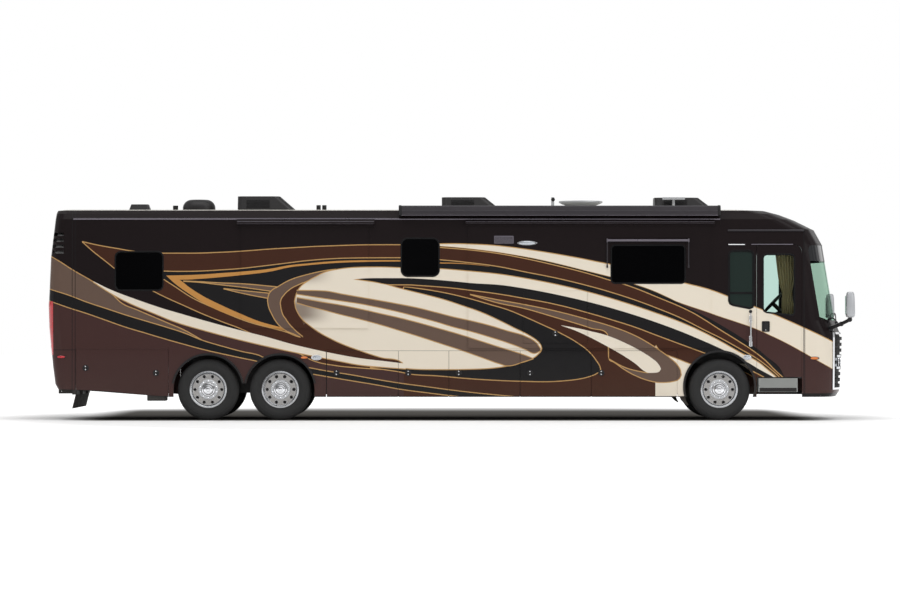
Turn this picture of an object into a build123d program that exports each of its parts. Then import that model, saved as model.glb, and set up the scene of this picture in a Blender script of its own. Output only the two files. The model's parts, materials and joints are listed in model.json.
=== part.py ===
from build123d import *
import os
from math import atan2, cos, pi, sin, sqrt

os.makedirs("parts", exist_ok=True)

# A bus-based motorhome with three slide-out rooms, a tag axle and five luggage bays.
# +X is forward, +Y the driver's side, +Z up. The origin is on the ground under the middle.

# Driving dimensions of the body, in millimetres
half_width = 1283
wall_t = 50
skirt_z = 397
deck_z = 1186
deck_t = 50
tail_seam_x = -6413
nose_seam_x = 6064
cap_roof_seam_x = 4634
cap_step_z = 3250
wall_top_z = 3425
seam = 0.3
seat = 0.3
running_gap = 5
overrun = 40

# Axles and tyres
tag_axle_x = -4100
drive_axle_x = -2872
front_axle_x = 4615
tyre_r = 522
tyre_w = 298
twin_pitch = 343
tyre_face_y = 1235
king_pin_y = 930

# Roof edge: height and half width, from the top of the walls to the flat of the roof
roof_edge = [
    (wall_top_z, half_width),
    (3520, 1240),
    (3577, 1150),
    (3611, 620),
]
roof_z = roof_edge[-1][0]

# Nose and tail in plan. Columns: height, reach from the middle, half width, corner radius,
# bow radius, share of an inset that also lowers the section
nose_corner_r = 400
nose_bow_r = 2950
tail_corner_r = 200
tail_bow_r = 9000
crown_corner_r = 190
nose_rows = [
    (skirt_z, 6720, half_width, nose_corner_r, nose_bow_r, 0),
    (484, 6779, half_width, nose_corner_r, nose_bow_r, 0),
    (976, 6807, half_width, nose_corner_r, nose_bow_r, 0),
    (1410, 6821, half_width, nose_corner_r, nose_bow_r, 0),
    (1697, 6706, half_width, nose_corner_r, nose_bow_r, 0),
    (2999, 6489, half_width, nose_corner_r, nose_bow_r, 0),
    (3259, 6345, half_width, nose_corner_r, nose_bow_r, 0.2),
    (roof_edge[0][0], 6010, roof_edge[0][1], nose_corner_r, nose_bow_r, 0.6),
    (roof_edge[1][0], 5760, roof_edge[1][1], nose_corner_r, nose_bow_r, 0.8),
    (roof_edge[2][0], 5540, roof_edge[2][1], nose_corner_r, nose_bow_r, 1),
    (roof_edge[3][0], 5072, roof_edge[3][1], crown_corner_r, nose_bow_r, 1),
]
tail_rows = [
    (523, 6735, half_width, tail_corner_r, tail_bow_r, 0),
    (616, 6787, half_width, tail_corner_r, tail_bow_r, 0),
    (915, 6826, half_width, tail_corner_r, tail_bow_r, 0),
    (1568, 6886, half_width, tail_corner_r, tail_bow_r, 0),
    (1962, 6898, half_width, tail_corner_r, tail_bow_r, 0),
    (2781, 6863, half_width, tail_corner_r, tail_bow_r, 0),
    (roof_edge[0][0], 6785, roof_edge[0][1], tail_corner_r, tail_bow_r, 0.6),
    (roof_edge[1][0], 6768, roof_edge[1][1], tail_corner_r, tail_bow_r, 0.8),
    (roof_edge[2][0], 6745, roof_edge[2][1], tail_corner_r, tail_bow_r, 1),
    (roof_edge[3][0], 6640, roof_edge[3][1], crown_corner_r, tail_bow_r, 1),
]

# Wheel arches, in X and Z
rear_arch_r = 588
rear_arch_z = 520
front_arch_r = 590
front_arch_z = 569
arch_tip_z = 628
arch_trim_w = 34
arch_trim_t = 12

# Luggage bays and their doors. The right-hand doors are hinged at their front edges.
bay_floor_z = 440
bay_floor_t = 20
bay_wall_t = 20
bay_door_t = 35
right_bay_edges = [-2083, -860, -1, 1214, 2426, 3892]
left_bay_edges = [-2083, -590, 904, 2398, 3892]
hinge_r = 4
hinge_inset = 1
hinge_side_gap = 4
latch_side_gap = 8
barrel_sink = 1.5
leaf_t = 3
latch_r = 42
latch_t = 5
latch_from_edge = 165
latch_z = 806

# Rear side compartment door, hinged at its top
side_door_x = (-6347, -4776)
side_door_top_z = 1210
side_door_t = 35
tail_skirt = [(-6413, 513), (-5971, 491), (-4701, 397)]

# Windows in the side walls. Columns: rear x, front x, low z, top z, corner radius
glass_t = 16
glass_inset = 4
rear_window = (-5672, -4873, 2220, 2863, 85)
mid_window = (-800, -170, 2459, 3091, 100)
bedroom_left_window = (-3050, -2250, 2220, 2863, 85)
driver_window = (5300, 5880, 1850, 2876, 70)
tall_window_x = (4782, 5186)
tall_window_top_z = 2880
tall_window_low_z = (1975, 1905)
tall_window_r = 60

# Slide-out rooms. Columns: rear x, front x, low z, top z of the outer flange
flange_lap = 45
flange_t = 16
slide_wall_t = 40
slide_depth = 750
slide_travel = 700
bedroom_room = (-3534, -1369, 1569, 3311)
living_room = (333, 4465, 1229, 3328)
left_room = (333, 4465, 1229, 3328)
living_window = (2776, 4020, 2340, 2975, 60)
left_windows = [(2776, 4020, 2340, 2975, 60), (800, 1900, 2340, 2975, 60)]
bedroom_skid_w = 60
tv_door = (1270, 2364, 1310, 2208)
tv_door_t = 30
tv_recess_depth = 220
tv_recess_t = 15

# Entry door and its steps
entry_x = (5250, 6010)
entry_z = (735, 2987)
entry_door_t = 45
entry_gap = 6
entry_hinge_gap = 10
entry_corner_r = 120
entry_hinge_r = 6
entry_glass_x = (5356, 5889)
entry_glass_top_z = 2824
entry_glass_low_z = (1854, 1781)
entry_glass_r = 60
entry_sill_z = 482
step_plate_z = (557, 715)
step_t = 20


def save(piece, name):
    """Label a finished piece and write it under its own name."""
    piece.label = name
    export_step(piece, "parts/" + name + ".step")


def mirrored(piece):
    """The same piece on the other side of the vehicle."""
    with BuildPart() as other:
        mirror(piece, about=Plane.XZ)
    return other.part


def block(low, high):
    """A block between two corners."""
    with BuildPart() as solid:
        with BuildSketch(Plane.XY.offset(low[2])):
            with Locations(((low[0] + high[0]) / 2, (low[1] + high[1]) / 2)):
                Rectangle(high[0] - low[0], high[1] - low[1])
        extrude(amount=high[2] - low[2])
    return solid.part


def side_prism(outline, inner_y, depth):
    """An outline in X and Z on the right-hand side, from inner_y outwards by depth."""
    with BuildPart() as solid:
        with BuildSketch(Plane.XZ.offset(inner_y)):
            with BuildLine():
                Polyline(*outline, close=True)
            make_face()
        extrude(amount=depth)
    return solid.part


def side_window(low_x, high_x, low_z, high_z, corner_r, inner_y, depth, grow):
    """A rounded rectangle in X and Z on the right-hand side."""
    with BuildPart() as solid:
        with BuildSketch(Plane.XZ.offset(inner_y)):
            with Locations(((low_x + high_x) / 2, (low_z + high_z) / 2)):
                RectangleRounded(
                    high_x - low_x + grow + grow, high_z - low_z + grow + grow, corner_r + grow
                )
        extrude(amount=depth)
    return solid.part


def slanted_window(x_pair, low_pair, top_z, corner_r, inner_y, depth, grow):
    """A window whose lower edge slopes down towards the front."""
    with BuildPart() as solid:
        with BuildSketch(Plane.XZ.offset(inner_y)):
            with BuildLine():
                FilletPolyline(
                    (x_pair[0] - grow, low_pair[0] - grow),
                    (x_pair[1] + grow, low_pair[1] - grow),
                    (x_pair[1] + grow, top_z + grow),
                    (x_pair[0] - grow, top_z + grow),
                    radius=corner_r + grow,
                    close=True,
                )
            make_face()
        extrude(amount=depth)
    return solid.part


def side_cylinder(x, z, radius, inner_y, depth):
    """A cylinder across the vehicle on the right-hand side."""
    with BuildPart() as solid:
        with BuildSketch(Plane.XZ.offset(inner_y)):
            with Locations((x, z)):
                Circle(radius)
        extrude(amount=depth)
    return solid.part


def upright_cylinder(x, y, radius, low_z, high_z):
    """A cylinder that stands upright."""
    with BuildPart() as solid:
        with BuildSketch(Plane.XY.offset(low_z)):
            with Locations((x, y)):
                Circle(radius)
        extrude(amount=high_z - low_z)
    return solid.part


def lengthwise_cylinder(low_x, high_x, y, z, radius):
    """A cylinder along the vehicle."""
    with BuildPart() as solid:
        with BuildSketch(Plane.YZ.offset(low_x)):
            with Locations((y, z)):
                Circle(radius)
        extrude(amount=high_x - low_x)
    return solid.part


def plan_form(rows, inset, seam_x, end):
    """A cap's sections in plan, joined by straight rulings.

    end is 1 for the nose and -1 for the tail. An inset greater than zero gives the inner
    surface, which runs on past the seam and the lower edge.
    """
    run_on = overrun if inset > wall_t / 2 else 0
    with BuildPart() as form:
        for place, (z, reach, width, corner_r, bow_r, drop_share) in enumerate(rows):
            low = run_on if place == 0 else 0
            w = width - inset
            rc = corner_r - inset
            rb = bow_r - inset
            tip = reach - inset
            hub = tip - rb
            cx = hub + sqrt((rb - rc) ** 2 - (w - rc) ** 2)
            cy = w - rc
            turn = atan2(cy, cx - hub)
            half_turn = (pi / 2 + turn) / 2
            back = seam_x - run_on
            meet = (end * (hub + rb * cos(turn)), rb * sin(turn))
            mid = (end * (cx + rc * cos(half_turn)), cy + rc * sin(half_turn))
            start = (end * cx, w)
            with BuildSketch(Plane.XY.offset(z - inset * drop_share - low)):
                with BuildLine():
                    Line((end * back, -w), (start[0], -w))
                    ThreePointArc((start[0], -w), (mid[0], -mid[1]), (meet[0], -meet[1]))
                    ThreePointArc((meet[0], -meet[1]), (end * tip, 0), meet)
                    ThreePointArc(meet, mid, start)
                    Line(start, (end * back, w))
                    Line((end * back, w), (end * back, -w))
                make_face()
        loft(ruled=True)
    return form.part


def roof_form(inset, low_z):
    """The roof's section in Y and Z, extruded between the two caps."""
    edge = [(w - inset, z - inset * share) for (z, w), share in zip(roof_edge, (0.6, 0.8, 1, 1))]
    outline = [(edge[0][0], low_z)] + edge[1:]
    outline = outline + [(-y, z) for y, z in reversed(outline)]
    with BuildPart() as form:
        with BuildSketch(Plane.YZ.offset(tail_seam_x)):
            with BuildLine():
                Polyline(*outline, close=True)
            make_face()
        extrude(amount=cap_roof_seam_x - tail_seam_x)
    return form.part


# Roof panel
roof_low_z = wall_top_z + seam
with BuildPart() as roof_panel:
    add(roof_form(0, roof_low_z))
    add(roof_form(wall_t, roof_low_z - overrun), mode=Mode.SUBTRACT)
save(roof_panel.part, "roof_panel")

# Windscreen opening, in X and Z
screen_outline = [(6332, 1709), (6131, 2902), (6150, 2985), (6900, 2999), (7100, 1697)]
screen_fillet_r = 70
screen_t = 12
screen_inset = 3
front_vent_low_z = 518
front_vent_top_z = 1500
front_vent_edge_x = 6560
front_vent_fillet_r = 60
frame_w = 34
slat_rows = 9
slat_share = 0.55
grille_proud = 14
grille_depth = 30


def screen_prism(shrink):
    """The windscreen's outline seen from the side, drawn in by shrink."""
    with BuildPart() as prism:
        with BuildSketch(Plane.XZ.offset(-half_width)):
            with BuildLine():
                FilletPolyline(*screen_outline, radius=screen_fillet_r, close=True)
            make_face()
            if shrink > 0:
                offset(amount=-shrink)
        extrude(amount=half_width + half_width)
    return prism.part


def vent_prism(shrink):
    """The front grille's outline seen from the side."""
    low = front_vent_low_z + shrink
    top = front_vent_top_z - shrink
    back = front_vent_edge_x + shrink
    with BuildPart() as prism:
        with BuildSketch(Plane.XZ.offset(-half_width)):
            with BuildLine():
                Polyline((back, low), (nose_rows[3][1] + wall_t + overrun, low),
                         (nose_rows[3][1] + wall_t + overrun, top), (back, top), close=True)
            make_face()
        extrude(amount=half_width + half_width)
    return prism.part


low_nose_rows = nose_rows[:5]
nose_reach = max(row[1] for row in nose_rows) + overrun
nose_outer = plan_form(nose_rows, 0, cap_roof_seam_x + seam, 1)
nose_inner = plan_form(nose_rows, wall_t, cap_roof_seam_x + seam, 1)
with BuildPart() as front_cap:
    add(nose_outer)
    add(nose_inner, mode=Mode.SUBTRACT)
    add(
        block(
            (cap_roof_seam_x - overrun, -half_width - overrun, skirt_z - overrun),
            (nose_seam_x + seam, half_width + overrun, cap_step_z),
        ),
        mode=Mode.SUBTRACT,
    )
    add(screen_prism(0), mode=Mode.SUBTRACT)
    add(vent_prism(0), mode=Mode.SUBTRACT)
save(front_cap.part, "front_cap")

with BuildPart() as windshield:
    add(plan_form(nose_rows, screen_inset, cap_roof_seam_x + seam, 1))
    add(plan_form(nose_rows, screen_inset + screen_t, cap_roof_seam_x, 1), mode=Mode.SUBTRACT)
    add(screen_prism(seat), mode=Mode.INTERSECT)
save(windshield.part, "windshield")

# Front grille: a bright surround with wrapped slats inside it
with BuildPart() as grille_surround:
    add(plan_form(low_nose_rows, -grille_proud, nose_seam_x, 1))
    add(plan_form(low_nose_rows, grille_depth, nose_seam_x - overrun, 1), mode=Mode.SUBTRACT)
    add(vent_prism(seat), mode=Mode.INTERSECT)
    add(vent_prism(frame_w), mode=Mode.SUBTRACT)
save(grille_surround.part, "grille_surround")

headlamp_y = (600, 980)
headlamp_z = (870, 1110)
headlamp_proud = 10


def lamp_block(side, grow):
    """The space of one headlamp, through the depth of the grille."""
    low_y, high_y = sorted((side * headlamp_y[0], side * headlamp_y[1]))
    return block(
        (nose_seam_x, low_y - grow, headlamp_z[0] - grow),
        (nose_rows[3][1] + overrun, high_y + grow, headlamp_z[1] + grow),
    )


slat_pitch = (front_vent_top_z - front_vent_low_z - frame_w - frame_w) / slat_rows
backing_t = 8
with BuildPart() as slat_backing:
    add(plan_form(low_nose_rows, grille_depth - backing_t, nose_seam_x, 1))
    add(plan_form(low_nose_rows, grille_depth + seat, nose_seam_x - overrun, 1), mode=Mode.SUBTRACT)
    add(vent_prism(frame_w + seat), mode=Mode.INTERSECT)
with BuildPart() as front_grille:
    add(plan_form(low_nose_rows, -grille_proud / 2, nose_seam_x, 1))
    add(plan_form(low_nose_rows, grille_depth, nose_seam_x - overrun, 1), mode=Mode.SUBTRACT)
    add(vent_prism(frame_w + seat), mode=Mode.INTERSECT)
    for row in range(slat_rows):
        gap_low = front_vent_low_z + frame_w + slat_pitch * (row + slat_share)
        gap_top = front_vent_low_z + frame_w + slat_pitch * (row + 1)
        with BuildSketch(Plane.XY.offset(gap_low)):
            Rectangle(nose_reach + nose_reach, half_width + half_width + overrun)
        extrude(amount=gap_top - gap_low, mode=Mode.SUBTRACT)
    add(slat_backing.part)
    for side in (-1, 1):
        add(lamp_block(side, seat), mode=Mode.SUBTRACT)
save(front_grille.part, "front_grille")

with BuildPart() as headlamp_zone:
    for side in (-1, 1):
        add(lamp_block(side, 0))
with BuildPart() as headlamps:
    add(plan_form(low_nose_rows, -headlamp_proud, nose_seam_x, 1))
    add(plan_form(low_nose_rows, grille_depth, nose_seam_x - overrun, 1), mode=Mode.SUBTRACT)
    add(headlamp_zone.part, mode=Mode.INTERSECT)
save(headlamps.part, "headlamps")

# Tail cap, with its lamp recesses, louvres and the engine door's opening
lamp_z = (1112, 2024)
lamp_front_x = -6742
lamp_edge_y = 1040
lamp_lens_t = 60
lamp_proud = 6
engine_hinge_x = -6888
engine_hinge_y = 300
louvre_z = (2840, 3243)
louvre_x = (-6760, -6560)
louvre_count = 4
louvre_share = 0.5
engine_door_y = 800
engine_door_z = (700, 1640)
engine_door_gap = 6
engine_hinge_r = 8
hinge_notch_l = engine_hinge_y + engine_hinge_y + running_gap + running_gap
tail_reach = max(row[1] for row in tail_rows)
tail_notch = 260
exhaust_y = 780
exhaust_tip_z = 545
exhaust_notch_r = 60


def tail_block(low_y, high_y, low_z, high_z, front_x):
    """A block that reaches back from front_x past the tail."""
    return block((-tail_reach - overrun, low_y, low_z), (front_x, high_y, high_z))


tail_outer = plan_form(tail_rows, 0, -tail_seam_x + seam, -1)
tail_inner = plan_form(tail_rows, wall_t, -tail_seam_x + seam, -1)
tail_face_x = -tail_reach + wall_t + wall_t + wall_t
with BuildPart() as rear_cap:
    add(tail_outer)
    add(tail_inner, mode=Mode.SUBTRACT)
    add(
        tail_block(-engine_door_y, engine_door_y, engine_door_z[0], engine_door_z[1], tail_face_x),
        mode=Mode.SUBTRACT,
    )
    for side in (-1, 1):
        lamp_span = sorted((side * lamp_edge_y, side * (half_width + overrun)))
        add(
            tail_block(lamp_span[0], lamp_span[1], lamp_z[0], lamp_z[1], lamp_front_x),
            mode=Mode.SUBTRACT,
        )
    add(
        side_cylinder(
            engine_hinge_x, engine_door_z[1] - engine_door_gap / 2, engine_hinge_r + seat,
            -engine_hinge_y - running_gap, hinge_notch_l,
        ),
        mode=Mode.SUBTRACT,
    )
    add(
        lengthwise_cylinder(
            -tail_reach - overrun, -tail_reach + tail_notch, exhaust_y, exhaust_tip_z, exhaust_notch_r
        ),
        mode=Mode.SUBTRACT,
    )
    louvre_pitch = (louvre_z[1] - louvre_z[0]) / louvre_count
    for row in range(louvre_count):
        low = louvre_z[0] + louvre_pitch * row
        high = low + louvre_pitch * louvre_share
        add(
            block((louvre_x[0], -half_width - overrun, low), (louvre_x[1], -half_width / 2, high)),
            mode=Mode.SUBTRACT,
        )
        add(
            block((louvre_x[0], half_width / 2, low), (louvre_x[1], half_width + overrun, high)),
            mode=Mode.SUBTRACT,
        )
save(rear_cap.part, "rear_cap")

with BuildPart() as lamp_zone:
    for side in (-1, 1):
        lamp_span = sorted((side * (lamp_edge_y + seat), side * (half_width + overrun)))
        add(
            tail_block(lamp_span[0], lamp_span[1], lamp_z[0] + seat, lamp_z[1] - seat, lamp_front_x - seat)
        )
with BuildPart() as tail_lamps:
    add(plan_form(tail_rows, -lamp_proud, -tail_seam_x, -1))
    add(plan_form(tail_rows, lamp_lens_t, -tail_seam_x - overrun, -1), mode=Mode.SUBTRACT)
    add(lamp_zone.part, mode=Mode.INTERSECT)
save(tail_lamps.part, "tail_lamps")

# Side walls
low_edge_z = skirt_z - overrun
wall_in_y = half_width - wall_t
rear_leg_x = side_door_x[1] + running_gap
tag_arch_start_x = tag_axle_x - rear_arch_r
drive_arch_end_x = drive_axle_x + rear_arch_r
wall_outline = [
    (tail_seam_x, tail_skirt[0][1]),
    tail_skirt[1],
    (rear_leg_x, skirt_z),
    (nose_seam_x, skirt_z),
    (nose_seam_x, cap_step_z),
    (cap_roof_seam_x, cap_step_z),
    (cap_roof_seam_x, wall_top_z),
    (tail_seam_x, wall_top_z),
]


def entry_prism(rear_gap, front_gap, low_z, inner_y, depth):
    """The entry door's outline with its rounded top front corner, grown by the gaps."""
    rear = entry_x[0] - rear_gap
    front = entry_x[1] + front_gap
    top = entry_z[1] + rear_gap
    with BuildPart() as prism:
        with BuildSketch(Plane.XZ.offset(inner_y)):
            with BuildLine():
                FilletPolyline(
                    (rear, low_z), (front, low_z), (front, top), (rear, top),
                    radius=(0, 0, entry_corner_r + rear_gap, entry_corner_r / 2), close=True,
                )
            make_face()
        extrude(amount=depth)
    return prism.part


def room_opening(room, inner_y, depth, grow):
    """The hole that a slide-out room travels through."""
    return side_window(
        room[0] + flange_lap, room[1] - flange_lap, room[2] + flange_lap, room[3] - flange_lap,
        running_gap, inner_y, depth, grow,
    )


def side_wall(rooms, windows, has_entry):
    """A side wall on the right-hand side, with everything that is cut out of it."""
    low_y = wall_in_y - overrun
    deep = wall_t + overrun + overrun
    with BuildPart() as wall:
        add(side_prism(wall_outline, wall_in_y, wall_t))
        for arch_x in (tag_axle_x, drive_axle_x):
            add(side_cylinder(arch_x, rear_arch_z, rear_arch_r, low_y, deep), mode=Mode.SUBTRACT)
        add(
            block(
                (tag_arch_start_x, -half_width - overrun, low_edge_z),
                (drive_arch_end_x, -low_y, rear_arch_z),
            ),
            mode=Mode.SUBTRACT,
        )
        add(
            block(
                (tag_axle_x, -half_width - overrun, low_edge_z),
                (drive_axle_x, -low_y, arch_tip_z),
            ),
            mode=Mode.SUBTRACT,
        )
        add(
            side_cylinder(front_axle_x, front_arch_z, front_arch_r, low_y, deep),
            mode=Mode.SUBTRACT,
        )
        add(
            block(
                (right_bay_edges[0] - running_gap, -half_width - overrun, low_edge_z),
                (right_bay_edges[-1] + running_gap, -low_y, deck_z),
            ),
            mode=Mode.SUBTRACT,
        )
        add(
            block(
                (side_door_x[0] - running_gap, -half_width - overrun, low_edge_z),
                (side_door_x[1] + running_gap, -low_y, side_door_top_z + hinge_side_gap),
            ),
            mode=Mode.SUBTRACT,
        )
        add(
            lengthwise_cylinder(
                side_door_x[0] - running_gap, side_door_x[1] + running_gap,
                -half_width, side_door_top_z + hinge_side_gap / 2, hinge_r + seat,
            ),
            mode=Mode.SUBTRACT,
        )
        for room in rooms:
            add(room_opening(room, low_y, deep, 0), mode=Mode.SUBTRACT)
        for window in windows:
            add(side_window(*window, low_y, deep, 0), mode=Mode.SUBTRACT)
        add(
            slanted_window(
                tall_window_x, tall_window_low_z, tall_window_top_z, tall_window_r, low_y, deep, 0
            ),
            mode=Mode.SUBTRACT,
        )
        if has_entry:
            add(
                entry_prism(entry_gap, entry_hinge_gap, low_edge_z, low_y, deep),
                mode=Mode.SUBTRACT,
            )
            add(
                upright_cylinder(
                    entry_x[1] + entry_hinge_gap / 2, -half_width, entry_hinge_r + seat,
                    low_edge_z, entry_z[1] - entry_corner_r,
                ),
                mode=Mode.SUBTRACT,
            )
    return wall.part


right_windows = [rear_window, mid_window]
left_wall_windows = [rear_window, bedroom_left_window, driver_window]
right_wall = side_wall([bedroom_room, living_room], right_windows, True)
save(right_wall, "side_wall_right")
left_wall = mirrored(side_wall([left_room], left_wall_windows, False))
save(left_wall, "side_wall_left")


def wall_glass(windows):
    """Panes that stand in their openings, just inside the skin."""
    pane_y = half_width - glass_inset - glass_t
    with BuildPart() as panes:
        for window in windows:
            add(side_window(*window, pane_y, glass_t, -seat))
        add(
            slanted_window(
                tall_window_x, tall_window_low_z, tall_window_top_z, tall_window_r,
                pane_y, glass_t, -seat,
            )
        )
    return panes.part


with BuildPart() as side_glass:
    add(wall_glass(right_windows))
    add(mirrored(wall_glass(left_wall_windows)))
save(side_glass.part, "side_glass")


def arch_ring(x, z, radius, low_z):
    """A trim ring that stands on the wall round a wheel arch."""
    with BuildPart() as ring:
        with BuildSketch(Plane.XZ.offset(half_width)):
            with Locations((x, z)):
                Circle(radius + arch_trim_w)
                Circle(radius, mode=Mode.SUBTRACT)
        extrude(amount=arch_trim_t)
        add(
            block(
                (x - radius - overrun, -half_width - overrun, z - radius - arch_trim_w - overrun),
                (x + radius + overrun, -half_width + overrun, low_z),
            ),
            mode=Mode.SUBTRACT,
        )
    return ring.part


with BuildPart() as right_arch_trim:
    for arch_x in (tag_axle_x, drive_axle_x):
        add(arch_ring(arch_x, rear_arch_z, rear_arch_r, arch_tip_z))
    add(arch_ring(front_axle_x, front_arch_z, front_arch_r, skirt_z))
with BuildPart() as arch_trims:
    add(right_arch_trim.part)
    add(mirrored(right_arch_trim.part))
save(arch_trims.part, "arch_trims")

# Floor, luggage bays and stepwell
floor_front_x = 6400
floor_nose_y = 1140
well_x = (5235, 6024)
well_y = 570
well_tread_y = 900
well_mid_z = 985
bay_reach_y = half_width - bay_door_t - running_gap
leaf_y = half_width - hinge_r - seat
floor_z = deck_z + deck_t
bay_wall_low_z = bay_floor_z + bay_floor_t


def bay_partition(x, low_y, high_y):
    """An upright partition across the bays."""
    return block(
        (x - bay_wall_t / 2, low_y, bay_wall_low_z), (x + bay_wall_t / 2, high_y, deck_z)
    )


def bay_leaf(x):
    """The fixed leaf that carries a right-hand bay door's hinge, in the seam between doors."""
    return block((x, -leaf_y, bay_wall_low_z), (x + leaf_t, -bay_reach_y + overrun, deck_z))


with BuildPart() as right_bay_leaves:
    for x in right_bay_edges[1:]:
        add(bay_leaf(x))
with BuildPart() as left_bay_leaves:
    for x in left_bay_edges[1:]:
        add(bay_leaf(x))
        add(bay_partition(x, -wall_in_y, -bay_reach_y + overrun + overrun))
rail_y = 430
rail_w = 80
rail_h = 230
rail_x = (-6650, 6300)
with BuildPart() as floor_and_bays:
    with BuildSketch(Plane.XY.offset(deck_z)):
        with BuildLine():
            Polyline(
                (tail_seam_x, -wall_in_y), (well_x[0], -wall_in_y), (well_x[0], -well_y),
                (well_x[1], -well_y), (well_x[1], -wall_in_y), (nose_seam_x, -wall_in_y),
                (floor_front_x, -floor_nose_y), (floor_front_x, floor_nose_y),
                (nose_seam_x, wall_in_y), (tail_seam_x, wall_in_y), close=True,
            )
        make_face()
    extrude(amount=deck_t)
    add(
        block(
            (right_bay_edges[0], -bay_reach_y, bay_floor_z),
            (right_bay_edges[-1] + leaf_t, bay_reach_y, bay_wall_low_z),
        )
    )
    for x in right_bay_edges[1:-1]:
        add(bay_partition(x, -bay_reach_y, bay_reach_y))
    for x in (right_bay_edges[0], right_bay_edges[-1]):
        add(bay_partition(x, -wall_in_y, wall_in_y))
    add(right_bay_leaves.part)
    add(mirrored(left_bay_leaves.part))
    with BuildSketch(Plane.YZ.offset(well_x[0])):
        with BuildLine():
            Polyline(
                (-wall_in_y, entry_z[0]), (-well_tread_y, entry_z[0]),
                (-well_tread_y, well_mid_z), (-well_y, well_mid_z), (-well_y, deck_z),
                (-well_y + step_t, deck_z), (-well_y + step_t, well_mid_z - step_t),
                (-well_tread_y + step_t, well_mid_z - step_t),
                (-well_tread_y + step_t, entry_z[0] - step_t),
                (-wall_in_y, entry_z[0] - step_t), close=True,
            )
        make_face()
    extrude(amount=well_x[1] - well_x[0])
    for side in (-1, 1):
        low = sorted((side * (rail_y - rail_w / 2), side * (rail_y + rail_w / 2)))
        add(
            block((rail_x[0], low[0] - seat, deck_z - rail_h), (rail_x[1], low[1] + seat, deck_z)),
            mode=Mode.SUBTRACT,
        )
save(floor_and_bays.part, "floor_and_bays")

# Chassis: two rails and cross members, with the tow frame and the mud flap's bar behind
cross_w = 80
cross_h = 170
cross_xs = [-6560, -5100, -3486, -1500, 600, 1800, 3200, 5300, 6200]
bar_x = -6400
bar_size = 76
bar_z = (432, 508)
bar_reach_y = 1050
drop_t = 12
receiver_rear_x = -6790
receiver_bore = 51
pin_r = 8
pin_x = -6740
hook_x = (6220, 6290, 6340, 6300)
hook_z = (420, 500, 800)
tongue_end_x = 6420
tongue_half_w = 45
tongue_hole_x = 6376
tongue_hole_r = 22
engine_x = (-6300, -5250)
engine_y = 340
engine_z = (560, 1150)
engine_foot_w = 120
engine_foot_h = 90
rail_in_y = rail_y - rail_w / 2
rail_low_z = deck_z - rail_h
with BuildPart() as chassis_frame:
    for side in (-1, 1):
        centre = side * rail_y
        add(
            block(
                (rail_x[0], centre - rail_w / 2, rail_low_z),
                (rail_x[1], centre + rail_w / 2, deck_z),
            )
        )
        add(
            block(
                (bar_x - cross_w, centre - drop_t / 2, bar_z[0]),
                (bar_x + cross_w, centre + drop_t / 2, rail_low_z),
            )
        )
        with BuildSketch(Plane.XZ.offset(-centre - drop_t)):
            with BuildLine():
                Polyline(
                    (hook_x[0], rail_low_z), (hook_x[0], hook_z[2]), (hook_x[1], hook_z[0]),
                    (hook_x[2], hook_z[0]), (hook_x[2], hook_z[1]), (hook_x[3], rail_low_z),
                    close=True,
                )
            make_face()
        extrude(amount=drop_t + drop_t)
        add(
            block(
                (hook_x[1], centre - tongue_half_w, hook_z[0]),
                (tongue_end_x, centre + tongue_half_w, hook_z[0] + drop_t + drop_t),
            )
        )
        add(
            upright_cylinder(
                tongue_hole_x, centre, tongue_hole_r, hook_z[0] - overrun, hook_z[1]
            ),
            mode=Mode.SUBTRACT,
        )
    for x in cross_xs:
        add(
            block(
                (x - cross_w / 2, -rail_in_y, deck_z - cross_h - drop_t),
                (x + cross_w / 2, rail_in_y, deck_z - drop_t),
            )
        )
    add(
        block(
            (bar_x - bar_size / 2, -bar_reach_y, bar_z[0]),
            (bar_x + bar_size / 2, bar_reach_y, bar_z[1]),
        )
    )
    add(
        block((receiver_rear_x, -bar_size / 2, bar_z[0]), (bar_x, bar_size / 2, bar_z[1]))
    )
    add(
        block(
            (receiver_rear_x - overrun, -receiver_bore / 2, bar_z[0] + drop_t),
            (bar_x - bar_size / 2, receiver_bore / 2, bar_z[0] + drop_t + receiver_bore),
        ),
        mode=Mode.SUBTRACT,
    )
    add(
        side_cylinder(
            pin_x, bar_z[0] + drop_t + receiver_bore / 2, pin_r, -bar_size, bar_size + bar_size
        ),
        mode=Mode.SUBTRACT,
    )
save(chassis_frame.part, "chassis_frame")

with BuildPart() as engine_block:
    add(block((engine_x[0], -engine_y, engine_z[0]), (engine_x[1], engine_y, engine_z[1])))
    for x in (engine_x[0] + engine_foot_w, engine_x[1] - engine_foot_w - engine_foot_w):
        add(
            block(
                (x, -rail_in_y, rail_low_z), (x + engine_foot_w, rail_in_y, rail_low_z + engine_foot_h)
            )
        )

# Mud flap behind the engine, leaning back
flap_t = 10
flap_low = (-6440, 194)
flap_top = (-6380, bar_z[0])
with BuildPart() as mud_flap:
    add(
        side_prism(
            [flap_low, (flap_low[0] + flap_t, flap_low[1]), (flap_top[0] + flap_t, flap_top[1]),
             flap_top],
            -bar_reach_y, bar_reach_y + bar_reach_y,
        )
    )
save(mud_flap.part, "mud_flap")

# Tyres and wheels. The profiles are half widths and radii about the tyre's middle.
rim_r = 300
bead_y = 105
bead_r = 322
flange_r = 316
flange_side_t = 10
barrel_t = 11
disc_t = 20
hub_r = 112
hub_out = 34
cap_r = 84
cap_out = 52
hand_hole_r = 19
hand_hole_pitch_r = 228
hand_holes = 10
spindle_r = 42
tube_r = 62
tyre_profile = [
    (bead_y, rim_r), (bead_y, bead_r), (149, 402), (141, 480), (120, 513), (98, tyre_r),
]
front_dish = 22
drive_dish = 120


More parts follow.
